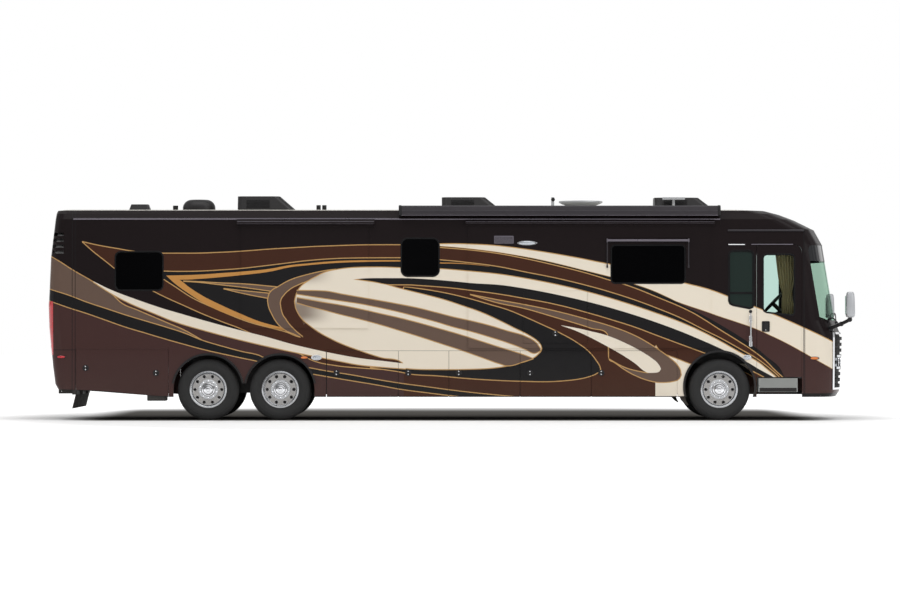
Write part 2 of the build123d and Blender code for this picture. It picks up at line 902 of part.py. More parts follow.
def tyre_ring(axle_x, centre_y):
    """One tyre, turned from straight bands about its axle."""
    right = [(centre_y - y, z) for y, z in tyre_profile]
    left = [(centre_y + y, z) for y, z in reversed(tyre_profile)]
    with BuildPart() as ring:
        with BuildSketch(Plane.YZ.offset(axle_x)):
            with BuildLine():
                Polyline(*[(y, z + tyre_r) for y, z in right + left], close=True)
            make_face()
        revolve(axis=Axis((axle_x, 0, tyre_r), (0, 1, 0)))
    return ring.part


def wheel_disc(axle_x, centre_y, dish, outward):
    """One wheel: its rim and its disc, which lies dish inside the outer rim edge."""
    edge = bead_y + flange_side_t
    bead = bead_y + seat
    face = centre_y - outward * (edge - dish)
    back = face + outward * disc_t
    flange_z = tyre_r + flange_r
    rim_z = tyre_r + rim_r - seat
    barrel_z = rim_z - barrel_t
    disc_z = rim_z - barrel_t / 2
    with BuildPart() as wheel:
        with BuildSketch(Plane.YZ.offset(axle_x)):
            with BuildLine():
                Polyline(
                    (centre_y - edge, flange_z), (centre_y - bead, flange_z),
                    (centre_y - bead, rim_z), (centre_y + bead, rim_z),
                    (centre_y + bead, flange_z), (centre_y + edge, flange_z),
                    (centre_y + edge, barrel_z), (centre_y - edge, barrel_z), close=True,
                )
            make_face()
        revolve(axis=Axis((axle_x, 0, tyre_r), (0, 1, 0)))
        with BuildSketch(Plane.YZ.offset(axle_x)):
            with BuildLine():
                Polyline(
                    (face, disc_z), (back, disc_z),
                    (back, tyre_r + spindle_r), (face, tyre_r + spindle_r), close=True,
                )
            make_face()
        revolve(axis=Axis((axle_x, 0, tyre_r), (0, 1, 0)))
        with BuildSketch(Plane.XZ.offset(-face - disc_t - disc_t)):
            with Locations((axle_x, tyre_r)):
                with PolarLocations(hand_hole_pitch_r, hand_holes):
                    Circle(hand_hole_r)
        extrude(amount=disc_t + disc_t + disc_t + disc_t, mode=Mode.SUBTRACT)
    return wheel.part


def hub_turning(axle_x, outer_y, inner_y, bore_r, bore_end_y):
    """A hub with its end cap, bored from the inner end for the axle."""
    with BuildPart() as hub:
        with BuildSketch(Plane.YZ.offset(axle_x)):
            with BuildLine():
                Polyline(
                    (inner_y, tyre_r), (inner_y, tyre_r + hub_r),
                    (outer_y - hub_out, tyre_r + hub_r), (outer_y - hub_out, tyre_r + cap_r),
                    (outer_y - cap_out, tyre_r + cap_r - hub_out / 2), (outer_y - cap_out, tyre_r),
                    close=True,
                )
            make_face()
        revolve(axis=Axis((axle_x, 0, tyre_r), (0, 1, 0)))
        add(
            side_cylinder(
                axle_x, tyre_r, bore_r + seat, -inner_y - overrun, overrun + inner_y - bore_end_y
            ),
            mode=Mode.SUBTRACT,
        )
    return hub.part


tyre_centre_y = -tyre_face_y + tyre_w / 2
spindle_end_y = -1130
tube_end_y = -1060
front_hub_in_y = -1030
tag_hub_in_y = -960
drive_hub_in_y = -640
wheel_rows = [
    ("front", front_axle_x, front_dish, front_hub_in_y, spindle_r, spindle_end_y),
    ("tag", tag_axle_x, front_dish, tag_hub_in_y, spindle_r, spindle_end_y),
    ("drive", drive_axle_x, drive_dish, drive_hub_in_y, tube_r, tube_end_y),
]
for name, axle_x, dish, hub_in_y, bore_r, bore_end_y in wheel_rows:
    twin_y = tyre_centre_y + twin_pitch
    disc_y = tyre_centre_y - bead_y - flange_side_t + dish
    with BuildPart() as tyre:
        add(tyre_ring(axle_x, tyre_centre_y))
        if name == "drive":
            add(tyre_ring(axle_x, twin_y))
    with BuildPart() as wheel:
        add(wheel_disc(axle_x, tyre_centre_y, dish, 1))
        if name == "drive":
            add(wheel_disc(axle_x, twin_y, dish, 1))
        add(hub_turning(axle_x, disc_y, hub_in_y, bore_r, bore_end_y))
        add(
            side_cylinder(
                axle_x, tyre_r, bore_r + seat, -hub_in_y - overrun,
                overrun + hub_in_y - bore_end_y,
            ),
            mode=Mode.SUBTRACT,
        )
    save(tyre.part, "tyre_" + name + "_right")
    save(wheel.part, "wheel_" + name + "_right")
    save(mirrored(tyre.part), "tyre_" + name + "_left")
    save(mirrored(wheel.part), "wheel_" + name + "_left")

# Axles. The front beam ends in eyes for the king pins; the rear ones end in spindles.
beam_half_x = 45
beam_z = (470, 570)
eye_r = 48
king_r = 24
eye_gap = 3
spring_r = 115
spring_y = 430
rear_spring_y = 470
tube_z_half = 62
bowl_r = 230
bowl_half_y = 150
with BuildPart() as front_axle:
    add(
        block(
            (front_axle_x - beam_half_x, -king_pin_y, beam_z[0]),
            (front_axle_x + beam_half_x, king_pin_y, beam_z[1]),
        )
    )
    for side in (-1, 1):
        add(upright_cylinder(front_axle_x, side * king_pin_y, eye_r, beam_z[0], beam_z[1]))
        add(
            upright_cylinder(
                front_axle_x, side * king_pin_y, king_r + seat, beam_z[0] - overrun,
                beam_z[1] + overrun,
            ),
            mode=Mode.SUBTRACT,
        )
        add(upright_cylinder(front_axle_x, side * spring_y, spring_r, beam_z[1], rail_low_z))
save(front_axle.part, "front_axle")

with BuildPart() as tag_axle:
    add(
        block(
            (tag_axle_x - beam_half_x, tag_hub_in_y + drop_t, tyre_r - tube_z_half),
            (tag_axle_x + beam_half_x, -tag_hub_in_y - drop_t, tyre_r + tube_z_half),
        )
    )
    reach = -spindle_end_y - drop_t
    add(side_cylinder(tag_axle_x, tyre_r, spindle_r, -reach, reach + reach))
    for side in (-1, 1):
        add(
            upright_cylinder(
                tag_axle_x, side * rear_spring_y, spring_r, tyre_r + tube_z_half, rail_low_z
            )
        )
save(tag_axle.part, "tag_axle")

with BuildPart() as drive_axle:
    reach = -tube_end_y - drop_t
    add(side_cylinder(drive_axle_x, tyre_r, tube_r, -reach, reach + reach))
    add(side_cylinder(drive_axle_x, tyre_r, bowl_r, -bowl_half_y, bowl_half_y + bowl_half_y))
    for side in (-1, 1):
        add(
            upright_cylinder(
                drive_axle_x, side * rear_spring_y, spring_r, tyre_r, rail_low_z
            )
        )
save(drive_axle.part, "drive_axle")

# Steering knuckles: a fork round the axle's eye, the king pin and the wheel's spindle
fork_t = 42
fork_x = 50
fork_web_y = (eye_r + running_gap, eye_r + 38)
with BuildPart() as knuckle:
    add(
        upright_cylinder(
            front_axle_x, -king_pin_y, king_r, beam_z[0] - eye_gap - fork_t,
            beam_z[1] + eye_gap + fork_t,
        )
    )
    for low_z in (beam_z[0] - eye_gap - fork_t, beam_z[1] + eye_gap):
        add(upright_cylinder(front_axle_x, -king_pin_y, eye_r, low_z, low_z + fork_t))
        add(
            block(
                (front_axle_x - fork_x, -king_pin_y - fork_web_y[1], low_z),
                (front_axle_x + fork_x, -king_pin_y, low_z + fork_t),
            )
        )
    add(
        block(
            (front_axle_x - fork_x, -king_pin_y - fork_web_y[1], beam_z[0] - eye_gap - fork_t),
            (front_axle_x + fork_x, -king_pin_y - fork_web_y[0], beam_z[1] + eye_gap + fork_t),
        )
    )
    add(
        side_cylinder(
            front_axle_x, tyre_r, spindle_r, king_pin_y + fork_web_y[0],
            -spindle_end_y - drop_t - king_pin_y - fork_web_y[0],
        )
    )
save(knuckle.part, "knuckle_right")
save(mirrored(knuckle.part), "knuckle_left")

# Slide-out rooms
skin_y = half_width + seat
face_y = skin_y + flange_t
skid_inset = 120
topper_t = 14
topper_drop = 12
bedroom_topper = (-3608, -1265, 42)
living_topper = (284, 4535, 30)
bar_r = 26
bar_sink = 6
window_bar = (2705, 4083, 3060, 2616)
window_arm_w = 34
window_arm_t = 18


def slide_room(room, windows, topper, door):
    """A slide-out room on the right: its face and flange, and the box open towards the cabin."""
    low_x, high_x, low_z, high_z = room
    box_low_x = low_x + flange_lap + running_gap
    box_high_x = high_x - flange_lap - running_gap
    box_low_z = low_z + flange_lap + running_gap
    box_high_z = high_z - flange_lap - running_gap
    inner_y = skin_y - slide_depth
    with BuildPart() as box:
        add(block((box_low_x, -skin_y, box_low_z), (box_high_x, -inner_y, box_high_z)))
        add(
            block(
                (box_low_x + slide_wall_t, -skin_y + slide_wall_t, box_low_z + slide_wall_t),
                (box_high_x - slide_wall_t, -inner_y + overrun, box_high_z - slide_wall_t),
            ),
            mode=Mode.SUBTRACT,
        )
        add(block((low_x, -face_y, low_z), (high_x, -skin_y, high_z)))
        for x in (box_low_x + skid_inset, box_high_x - skid_inset - bedroom_skid_w):
            add(
                block(
                    (x, -skin_y, box_low_z - running_gap + seat),
                    (x + bedroom_skid_w, -inner_y, box_low_z),
                )
            )
        for window in windows:
            add(
                side_window(*window, inner_y, slide_depth + flange_t + overrun, 0),
                mode=Mode.SUBTRACT,
            )
        for window in windows:
            add(side_window(*window, face_y - glass_inset - glass_t, glass_t, -seat))
        roll_z = high_z - topper_drop + topper[2] + bar_r
        add(
            lengthwise_cylinder(
                topper[0], topper[1], -skin_y - topper[2] - running_gap, roll_z, topper[2]
            )
        )
        add(
            block(
                (topper[0], -face_y - topper_t, high_z - topper_drop),
                (topper[1], -skin_y - topper_drop / 2, roll_z - topper[2] / 2),
            )
        )
        if door is not None:
            add(
                side_window(
                    door[0], door[1], door[2], door[3], hinge_r, face_y - tv_door_t - seat - seat,
                    tv_door_t + overrun, running_gap,
                ),
                mode=Mode.SUBTRACT,
            )
            add(
                block(
                    (door[0] + skid_inset, -face_y - overrun, door[2] + skid_inset),
                    (door[1] - skid_inset, -skin_y + slide_wall_t + overrun, door[3] - skid_inset),
                ),
                mode=Mode.SUBTRACT,
            )
            add(
                block(
                    (door[0] + skid_inset - tv_recess_t, -skin_y + slide_wall_t,
                     door[2] + skid_inset - tv_recess_t),
                    (door[1] - skid_inset + tv_recess_t, -skin_y + slide_wall_t + tv_recess_depth,
                     door[3] - skid_inset + tv_recess_t),
                )
            )
            add(
                block(
                    (door[0] + skid_inset, -skin_y, door[2] + skid_inset),
                    (door[1] - skid_inset, -skin_y + slide_wall_t + tv_recess_depth - tv_recess_t,
                     door[3] - skid_inset),
                ),
                mode=Mode.SUBTRACT,
            )
            add(
                lengthwise_cylinder(
                    door[0] - running_gap, door[1] + running_gap, -face_y,
                    door[3] + hinge_side_gap / 2, hinge_r + seat,
                ),
                mode=Mode.SUBTRACT,
            )
    return box.part


bedroom_slide = slide_room(bedroom_room, [], bedroom_topper, None)
save(bedroom_slide, "bedroom_slide")
living_slide = slide_room(living_room, [living_window], living_topper, tv_door)
with BuildPart() as living_room_slide:
    add(living_slide)
    add(
        lengthwise_cylinder(
            window_bar[0], window_bar[1], -face_y - bar_r + bar_sink, window_bar[2], bar_r
        )
    )
    for x in (window_bar[0], window_bar[1] - window_arm_w):
        add(
            block(
                (x, -face_y - window_arm_t, window_bar[3]), (x + window_arm_w, -face_y, window_bar[2])
            )
        )
save(living_room_slide.part, "living_slide")
save(mirrored(slide_room(left_room, left_windows, living_topper, None)), "left_slide")


def latch(x, z, y):
    """A round paddle latch that stands on a right-hand door."""
    return side_cylinder(x, z, latch_r, y, latch_t)


with BuildPart() as tv_door_panel:
    add(
        side_window(
            tv_door[0], tv_door[1], tv_door[2], tv_door[3], hinge_r, face_y - tv_door_t, tv_door_t, 0
        )
    )
    add(
        lengthwise_cylinder(
            tv_door[0], tv_door[1], -face_y, tv_door[3] + hinge_side_gap / 2, hinge_r
        )
    )
    add(latch((tv_door[0] + tv_door[1]) / 2, tv_door[2] + latch_from_edge, face_y))
save(tv_door_panel.part, "tv_door")


def bay_door(rear_edge, front_edge):
    """A luggage door on the right, with its hinge barrel at the front and a latch at the rear."""
    low_x = rear_edge + latch_side_gap
    axis_x = front_edge - hinge_inset
    high_x = axis_x - hinge_r + barrel_sink
    with BuildPart() as door:
        add(
            block(
                (low_x, -half_width, skirt_z),
                (high_x, -half_width + bay_door_t, deck_z - running_gap),
            )
        )
        add(
            upright_cylinder(axis_x, -half_width, hinge_r, bay_wall_low_z, deck_z - running_gap)
        )
        add(latch(low_x + latch_from_edge, latch_z, half_width))
    return door.part


for number in range(len(right_bay_edges) - 1):
    door = bay_door(right_bay_edges[number], right_bay_edges[number + 1])
    save(door, "bay_door_right_" + str(number + 1))
for number in range(len(left_bay_edges) - 1):
    door = mirrored(bay_door(left_bay_edges[number], left_bay_edges[number + 1]))
    save(door, "bay_door_left_" + str(number + 1))

with BuildPart() as rear_side_door:
    add(
        side_prism(
            [(side_door_x[0], tail_skirt[0][1]), tail_skirt[1], (side_door_x[1], skirt_z),
             (side_door_x[1], side_door_top_z), (side_door_x[0], side_door_top_z)],
            half_width - side_door_t, side_door_t,
        )
    )
    add(
        lengthwise_cylinder(
            side_door_x[0], side_door_x[1], -half_width, side_door_top_z + hinge_side_gap / 2, hinge_r
        )
    )
    add(latch(side_door_x[0] + latch_from_edge, latch_z + latch_r + latch_r, half_width))
    add(latch(side_door_x[1] - latch_from_edge - latch_r, latch_z, half_width))
save(rear_side_door.part, "rear_door_right")
save(mirrored(rear_side_door.part), "rear_door_left")

# Engine door: the middle of the tail's skin, with slots for the radiator's air
door_slot_rows = 12
door_slot_share = 0.5
door_slot_y = 640
door_slot_z = (800, 1540)
engine_door_t = 40
with BuildPart() as engine_door_zone:
    add(
        tail_block(
            -engine_door_y + engine_door_gap, engine_door_y - engine_door_gap,
            engine_door_z[0] + engine_door_gap, engine_door_z[1] - engine_door_gap, tail_face_x,
        )
    )
with BuildPart() as engine_door:
    add(plan_form(tail_rows[1:6], 0, -tail_seam_x, -1))
    add(plan_form(tail_rows[1:6], engine_door_t, -tail_seam_x - overrun, -1), mode=Mode.SUBTRACT)
    add(engine_door_zone.part, mode=Mode.INTERSECT)
    slot_pitch = (door_slot_z[1] - door_slot_z[0]) / door_slot_rows
    for row in range(door_slot_rows):
        low = door_slot_z[0] + slot_pitch * row
        add(
            tail_block(
                -door_slot_y, door_slot_y, low, low + slot_pitch * door_slot_share, tail_face_x
            ),
            mode=Mode.SUBTRACT,
        )
    add(
        side_cylinder(
            engine_hinge_x, engine_door_z[1] - engine_door_gap / 2, engine_hinge_r,
            -engine_hinge_y, engine_hinge_y + engine_hinge_y,
        )
    )
save(engine_door.part, "engine_door")

# Entry door with its glass
with BuildPart() as entry_door:
    add(entry_prism(0, 0, entry_z[0], half_width - entry_door_t, entry_door_t))
    add(
        slanted_window(
            entry_glass_x, entry_glass_low_z, entry_glass_top_z, entry_glass_r,
            half_width - entry_door_t - overrun, entry_door_t + overrun + overrun, 0,
        ),
        mode=Mode.SUBTRACT,
    )
    add(
        upright_cylinder(
            entry_x[1] + entry_hinge_gap / 2, -half_width, entry_hinge_r,
            entry_z[0], entry_z[1] - entry_corner_r - entry_gap,
        )
    )
save(entry_door.part, "entry_door")
with BuildPart() as entry_door_glass:
    add(
        slanted_window(
            entry_glass_x, entry_glass_low_z, entry_glass_top_z, entry_glass_r,
            half_width - glass_inset - glass_t, glass_t, -seat,
        )
    )
save(entry_door_glass.part, "entry_door_glass")

# Entry step: a tread box that travels out from under the stepwell
step_x = (5278, 5942)
step_depth = 330
step_side_t = 14
step_top_z = entry_z[0] - step_t - seat
with BuildPart() as entry_step:
    add(
        block(
            (step_x[0], -half_width, entry_sill_z), (step_x[1], -half_width + step_depth, step_top_z)
        )
    )
    add(
        block(
            (step_x[0] + step_side_t, -half_width + step_side_t, entry_sill_z - overrun),
            (step_x[1] - step_side_t, -half_width + step_depth + overrun, step_top_z - step_t),
        ),
        mode=Mode.SUBTRACT,
    )
save(entry_step.part, "entry_step")

# Patio awning: a box along the roof's edge
awning_x = (-838, 4615)
awning_outline = [
    (-1180, 3481), (-1392, 3481), (-1410, 3500), (-1410, 3560), (-1385, 3640), (-1350, 3655),
    (-1180, 3655),
]
with BuildPart() as patio_awning:
    with BuildSketch(Plane.YZ.offset(awning_x[0])):
        with BuildLine():
            Polyline(*awning_outline, close=True)
        make_face()
    extrude(amount=awning_x[1] - awning_x[0])
    add(roof_form(-seat, roof_low_z), mode=Mode.SUBTRACT)
save(patio_awning.part, "patio_awning")

# Air conditioners. Columns: rear x, front x, top z
cooler_rows = [(-3663, -2668, 3857), (-120, 894, 3841), (3571, 4593, 3834)]
cooler_half_y = 350
cooler_base_z = 3632
cooler_taper = 60
cooler_nose = 260
with BuildPart() as roof_air_conditioners:
    for low_x, high_x, top_z in cooler_rows:
        with BuildSketch(Plane.XY.offset(roof_z)):
            with Locations(((low_x + high_x) / 2, 0)):
                RectangleRounded(
                    high_x - low_x - cooler_taper, cooler_half_y + cooler_half_y - cooler_taper,
                    cooler_taper,
                )
        extrude(amount=cooler_base_z - roof_z)
        with BuildSketch(Plane.XY.offset(cooler_base_z)):
            with Locations(((low_x + high_x) / 2, 0)):
                RectangleRounded(high_x - low_x, cooler_half_y + cooler_half_y, cooler_taper + cooler_taper)
        with BuildSketch(Plane.XY.offset(top_z)):
            with Locations(((low_x + high_x - cooler_nose) / 2, 0)):
                RectangleRounded(
                    high_x - low_x - cooler_nose, cooler_half_y + cooler_half_y - cooler_nose / 2,
                    cooler_taper + cooler_taper,
                )
        loft()
save(roof_air_conditioners.part, "roof_air_conditioners")

# Roof domes and vents
dome_x = (-4633, -4065)
dome_top_z = 3806
vent_x = (-5562, -5189)
vent_top_z = 3723
vent_half_y = 180
post_x = -4760
post_r = 45
post_top_z = 3705
small_vent_xs = [-2250, -2150]
small_vent_r = 38
small_vent_top_z = 3696
dome_r = (dome_x[1] - dome_x[0]) / 2
dome_edge_r = 150
with BuildPart() as roof_vents:
    with BuildSketch(Plane.XY.offset(roof_z)):
        with Locations(((dome_x[0] + dome_x[1]) / 2, 0)):
            Circle(dome_r)
    extrude(amount=dome_top_z - roof_z)
    fillet(edges().group_by(Axis.Z)[-1], radius=dome_edge_r)
    with BuildSketch(Plane.XY.offset(roof_z)):
        with Locations(((vent_x[0] + vent_x[1]) / 2, 0)):
            RectangleRounded(vent_x[1] - vent_x[0], vent_half_y + vent_half_y, overrun)
    with BuildSketch(Plane.XY.offset(vent_top_z)):
        with Locations(((vent_x[0] + vent_x[1]) / 2, 0)):
            RectangleRounded(
                vent_x[1] - vent_x[0] - overrun - overrun, vent_half_y + vent_half_y - overrun - overrun,
                overrun,
            )
    loft()
    add(upright_cylinder(post_x, 0, post_r, roof_z, post_top_z))
    for x in small_vent_xs:
        add(upright_cylinder(x, -spring_y, small_vent_r, roof_z, small_vent_top_z))
save(roof_vents.part, "roof_vents")

# Stowed satellite dish and the television aerial
dish_x = (1787, 2765)
dish_top_z = 3851
dish_base_r = 190
dish_base_top_z = 3690
dish_r = 380
dish_x_middle = 2300
dish_t = 26
dish_depth = 90
dish_shares = (0.52, 0.26)
feed_arm_half_y = 28
aerial_x = (3695, 4077)
aerial_y = -480
aerial_top_z = 3829
aerial_post_r = 24
aerial_wing_half_y = 70
aerial_wing_t = 40
dish_edge = (dish_x_middle + dish_r, dish_base_top_z + dish_depth)
dish_mid = (
    dish_x_middle + dish_r * dish_shares[0], dish_base_top_z + dish_depth * dish_shares[1]
)
with BuildPart() as satellite_dish:
    add(upright_cylinder(dish_x_middle, 0, dish_base_r, roof_z, dish_base_top_z))
    with BuildSketch(Plane.XZ):
        with BuildLine():
            Line((dish_x_middle, dish_base_top_z - dish_t), (dish_x_middle, dish_base_top_z))
            ThreePointArc((dish_x_middle, dish_base_top_z), dish_mid, dish_edge)
            Line(dish_edge, (dish_edge[0], dish_edge[1] - dish_t))
            ThreePointArc(
                (dish_edge[0], dish_edge[1] - dish_t),
                (dish_mid[0], dish_mid[1] - dish_t),
                (dish_x_middle, dish_base_top_z - dish_t),
            )
        make_face()
    revolve(axis=Axis((dish_x_middle, 0, 0), (0, 0, 1)))
    add(
        block(
            (dish_x[0], -feed_arm_half_y, roof_z + dish_t),
            (dish_x_middle, feed_arm_half_y, roof_z + dish_t + dish_t + dish_t),
        )
    )
    add(
        block(
            (dish_x[0], -feed_arm_half_y, roof_z + dish_t),
            (dish_x[0] + dish_t + dish_t, feed_arm_half_y, dish_top_z),
        )
    )
    add(
        block(
            (aerial_x[0], aerial_y - aerial_wing_half_y, aerial_top_z - aerial_wing_t),
            (aerial_x[1], aerial_y + aerial_wing_half_y, aerial_top_z),
        )
    )
    aerial_mid_x = (aerial_x[0] + aerial_x[1]) / 2
    add(upright_cylinder(aerial_mid_x, aerial_y, aerial_post_r, roof_z, aerial_top_z - aerial_wing_t))
save(satellite_dish.part, "satellite_dish")

# Mirrors on their arms, and the grab handle beside the entry door
mirror_x = (6735, 6896)
mirror_y = (1392, 1600)
mirror_z = (1749, 2186)
mirror_corner_r = 60
arm_r = 20
arm_root = (6440, -1080, 1550)
arm_elbow = (6815, -1496, 1722)
mirror_base_x = (6431, 6600)
mirror_base_y = (1223, 1043)
mirror_base_z = (1508, 1607)
handle_x = 5143
handle_z = (1254, 1833)
handle_r = 14
handle_out = 45
with BuildPart() as right_mirror:
    with BuildSketch(Plane.XY.offset(mirror_z[0])):
        with Locations(((mirror_x[0] + mirror_x[1]) / 2, -(mirror_y[0] + mirror_y[1]) / 2)):
            RectangleRounded(mirror_x[1] - mirror_x[0], mirror_y[1] - mirror_y[0], mirror_corner_r)
    extrude(amount=mirror_z[1] - mirror_z[0])
    run = Vector(*arm_elbow) - Vector(*arm_root)
    with BuildSketch(Plane(origin=arm_root, z_dir=run)):
        Circle(arm_r)
    extrude(amount=run.length)
    add(
        upright_cylinder(
            arm_elbow[0], arm_elbow[1], arm_r + handle_r, arm_elbow[2] - arm_r, mirror_z[0]
        )
    )
    add(
        block(
            (mirror_base_x[0], -mirror_base_y[0], mirror_base_z[0]),
            (mirror_base_x[1], -mirror_base_y[1], mirror_base_z[1]),
        )
    )
    add(plan_form(low_nose_rows, -seat, nose_seam_x, 1), mode=Mode.SUBTRACT)
with BuildPart() as grab_handle:
    add(
        upright_cylinder(
            handle_x, -half_width - handle_out, handle_r, handle_z[0], handle_z[1]
        )
    )
    for z in (handle_z[0] + handle_r + handle_r, handle_z[1] - handle_r - handle_r):
        add(side_cylinder(handle_x, z, handle_r, half_width, handle_out))
with BuildPart() as mirrors:
    add(right_mirror.part)
    add(mirrored(right_mirror.part))
    add(grab_handle.part)
save(mirrors.part, "mirrors")

# Exhaust, from the engine's side to a tip under the tail
exhaust_points = [
    (-6100, engine_y - engine_foot_w / 4, 640), (-6100, exhaust_y, 600), (-6520, exhaust_y, 560),
    (-6850, exhaust_y, exhaust_tip_z),
]
exhaust_r = 42
exhaust_bend_r = 130
exhaust_tip_r = 50
tip_length = 150
with BuildPart() as exhaust:
    with BuildLine() as exhaust_line:
        FilletPolyline(*exhaust_points, radius=exhaust_bend_r)
    with BuildSketch(Plane(origin=exhaust_line.line @ 0, z_dir=exhaust_line.line % 0)):
        Circle(exhaust_r)
    sweep(path=exhaust_line.line)
with BuildPart() as engine_and_exhaust:
    add(engine_block.part)
    add(exhaust.part)
save(engine_and_exhaust.part, "engine_block")

# Dashboard with the steering column, cut to the nose's inner surface
dash_x = (6060, 6130, 6300, 6400, 6640)
dash_z = (1300, 1560, 1730, 1770, 1660)
dash_outline = [
    (dash_x[0], dash_z[0]), (dash_x[0], dash_z[1]), (dash_x[1], dash_z[2]),
    (dash_x[2], dash_z[3]), (dash_x[4], dash_z[4]), (dash_x[4], dash_z[0]),
]
dash_half_y = 1150
wheel_centre = (5700, 600, 2010)
column_root = (6180, 600, 1560)
column_r = 36
wheel_hub_t = 40
dash_gap = 4
with BuildPart() as dashboard:
    add(side_prism(dash_outline, -dash_half_y, dash_half_y + dash_half_y))
    add(block((dash_x[0], -dash_half_y, floor_z), (dash_x[3], dash_half_y, dash_z[0])))
    column_run = Vector(*wheel_centre) - Vector(*column_root)
    with BuildSketch(Plane(origin=column_root, z_dir=column_run)):
        Circle(column_r)
    extrude(amount=column_run.length - wheel_hub_t / 2 - dash_gap)
    add(plan_form(nose_rows, wall_t + dash_gap, cap_roof_seam_x, 1), mode=Mode.INTERSECT)
save(dashboard.part, "dashboard")

ring_r = 225
ring_t = 16
wheel_hub_r = 60
spoke_w = 34
spoke_t = 12
wheel_plane = Plane(origin=wheel_centre, x_dir=(0, 1, 0), z_dir=column_run)
with BuildPart() as steering_wheel:
    with BuildSketch(Plane(origin=wheel_centre, x_dir=(0, 1, 0), z_dir=wheel_plane.y_dir)):
        with Locations((ring_r, 0)):
            Circle(ring_t)
    revolve(axis=Axis(wheel_centre, wheel_plane.z_dir))
    with BuildSketch(wheel_plane.offset(-wheel_hub_t / 2)):
        Circle(wheel_hub_r)
    extrude(amount=wheel_hub_t)
    with BuildSketch(wheel_plane.offset(-spoke_t / 2)):
        Rectangle(ring_r + ring_r, spoke_w)
        with Locations((0, -ring_r / 2)):
            Rectangle(spoke_w, ring_r)
    extrude(amount=spoke_t)
save(steering_wheel.part, "steering_wheel")

# Two swivel chairs. Columns: x of the cushion's middle, y of the middle
chair_rows = [(5330, 600), (4900, -640)]
chair_half_w = 270
cushion_half_l = 260
cushion_z = (1640, 1760)
pedestal_r = 150
back_t = 150
back_top_z = 2480
back_rake = 110
arm_t = 70
arm_z = (1880, 1950)
with BuildPart() as cab_seats:
    for x, y in chair_rows:
        add(upright_cylinder(x, y, pedestal_r, floor_z, cushion_z[0]))
        add(
            block(
                (x - cushion_half_l, y - chair_half_w, cushion_z[0]),
                (x + cushion_half_l, y + chair_half_w, cushion_z[1]),
            )
        )
        rear = x - cushion_half_l
        back_outline = [
            (rear - back_t / 2, cushion_z[0]), (rear + back_t / 2, cushion_z[0]),
            (rear + back_t / 2 - back_rake, back_top_z), (rear - back_t / 2 - back_rake, back_top_z),
        ]
        add(side_prism(back_outline, -y - chair_half_w, chair_half_w + chair_half_w))
        for side in (-1, 1):
            low = sorted((y + side * chair_half_w, y + side * (chair_half_w + arm_t)))
            add(
                block((rear, low[0], arm_z[0]), (x + cushion_half_l - arm_t, low[1], arm_z[1]))
            )
            add(
                block((rear, low[0], cushion_z[0]), (rear + arm_t, low[1], arm_z[0]))
            )
save(cab_seats.part, "cab_seats")
print("built")
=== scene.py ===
"""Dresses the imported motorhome: clear-coated swoosh paint, glass, lamps, wheels, trim and cab.

Lengths are in metres in the frame of the CAD, and pattern scales are in millimetres.
"""

import json
import logging
import math
from dataclasses import dataclass, field
from enum import Enum
from typing import Callable, Sequence

import bmesh
import bpy
from mathutils import Matrix, Vector

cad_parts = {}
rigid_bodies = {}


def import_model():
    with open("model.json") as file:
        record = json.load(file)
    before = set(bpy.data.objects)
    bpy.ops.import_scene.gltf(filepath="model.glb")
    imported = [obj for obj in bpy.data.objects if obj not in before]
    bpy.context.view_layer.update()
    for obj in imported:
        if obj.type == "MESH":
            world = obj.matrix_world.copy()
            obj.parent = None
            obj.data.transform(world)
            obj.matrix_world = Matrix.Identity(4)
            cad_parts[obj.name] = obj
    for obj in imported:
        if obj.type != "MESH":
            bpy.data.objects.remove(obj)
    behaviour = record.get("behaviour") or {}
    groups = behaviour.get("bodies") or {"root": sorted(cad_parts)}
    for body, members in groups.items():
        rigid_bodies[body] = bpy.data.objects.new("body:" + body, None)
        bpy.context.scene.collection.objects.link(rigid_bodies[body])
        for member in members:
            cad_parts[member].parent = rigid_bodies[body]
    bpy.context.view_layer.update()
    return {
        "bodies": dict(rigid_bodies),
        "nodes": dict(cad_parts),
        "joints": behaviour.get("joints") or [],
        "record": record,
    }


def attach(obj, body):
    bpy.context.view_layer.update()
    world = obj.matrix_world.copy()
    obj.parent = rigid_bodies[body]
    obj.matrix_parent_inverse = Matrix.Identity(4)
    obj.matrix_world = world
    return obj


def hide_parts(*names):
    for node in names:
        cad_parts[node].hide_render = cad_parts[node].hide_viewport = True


LOG = logging.getLogger("motorhome")
Point2 = tuple[float, float]
Point3 = tuple[float, float, float]
Outline = tuple[Point2, ...]
Tree = bpy.types.NodeTree
Socket = bpy.types.NodeSocket

MM = 0.001
# How far out the body's skin and the rooms' flanges lie
SIDE_Y = 1.283
FLANGE_Y = 1.299
RIGHT = -1
LEFT = 1
SIDES = (("right", RIGHT), ("left", LEFT))
# Two points of an outline nearer than this along X count as one
LEAST_X = 1e-4
# A wave texture turns by this many radians over one unit of its scale
WAVE_TURN = 20
ROAD_SOIL = "#7d7468"


def linear(colour: str) -> tuple[float, float, float, float]:
    """Turns an sRGB hex colour into linear light.

    Args:
        colour: Six hex digits, with or without a leading hash.

    Returns:
        Red, green, blue and an alpha of one.
    """
    digits = colour.lstrip("#")
    shares = [int(digits[i:i + 2], 16) / 255 for i in (0, 2, 4)]
    bent = [c / 12.92 if c <= 0.04045 else ((c + 0.055) / 1.055) ** 2.4 for c in shares]
    return bent[0], bent[1], bent[2], 1.0


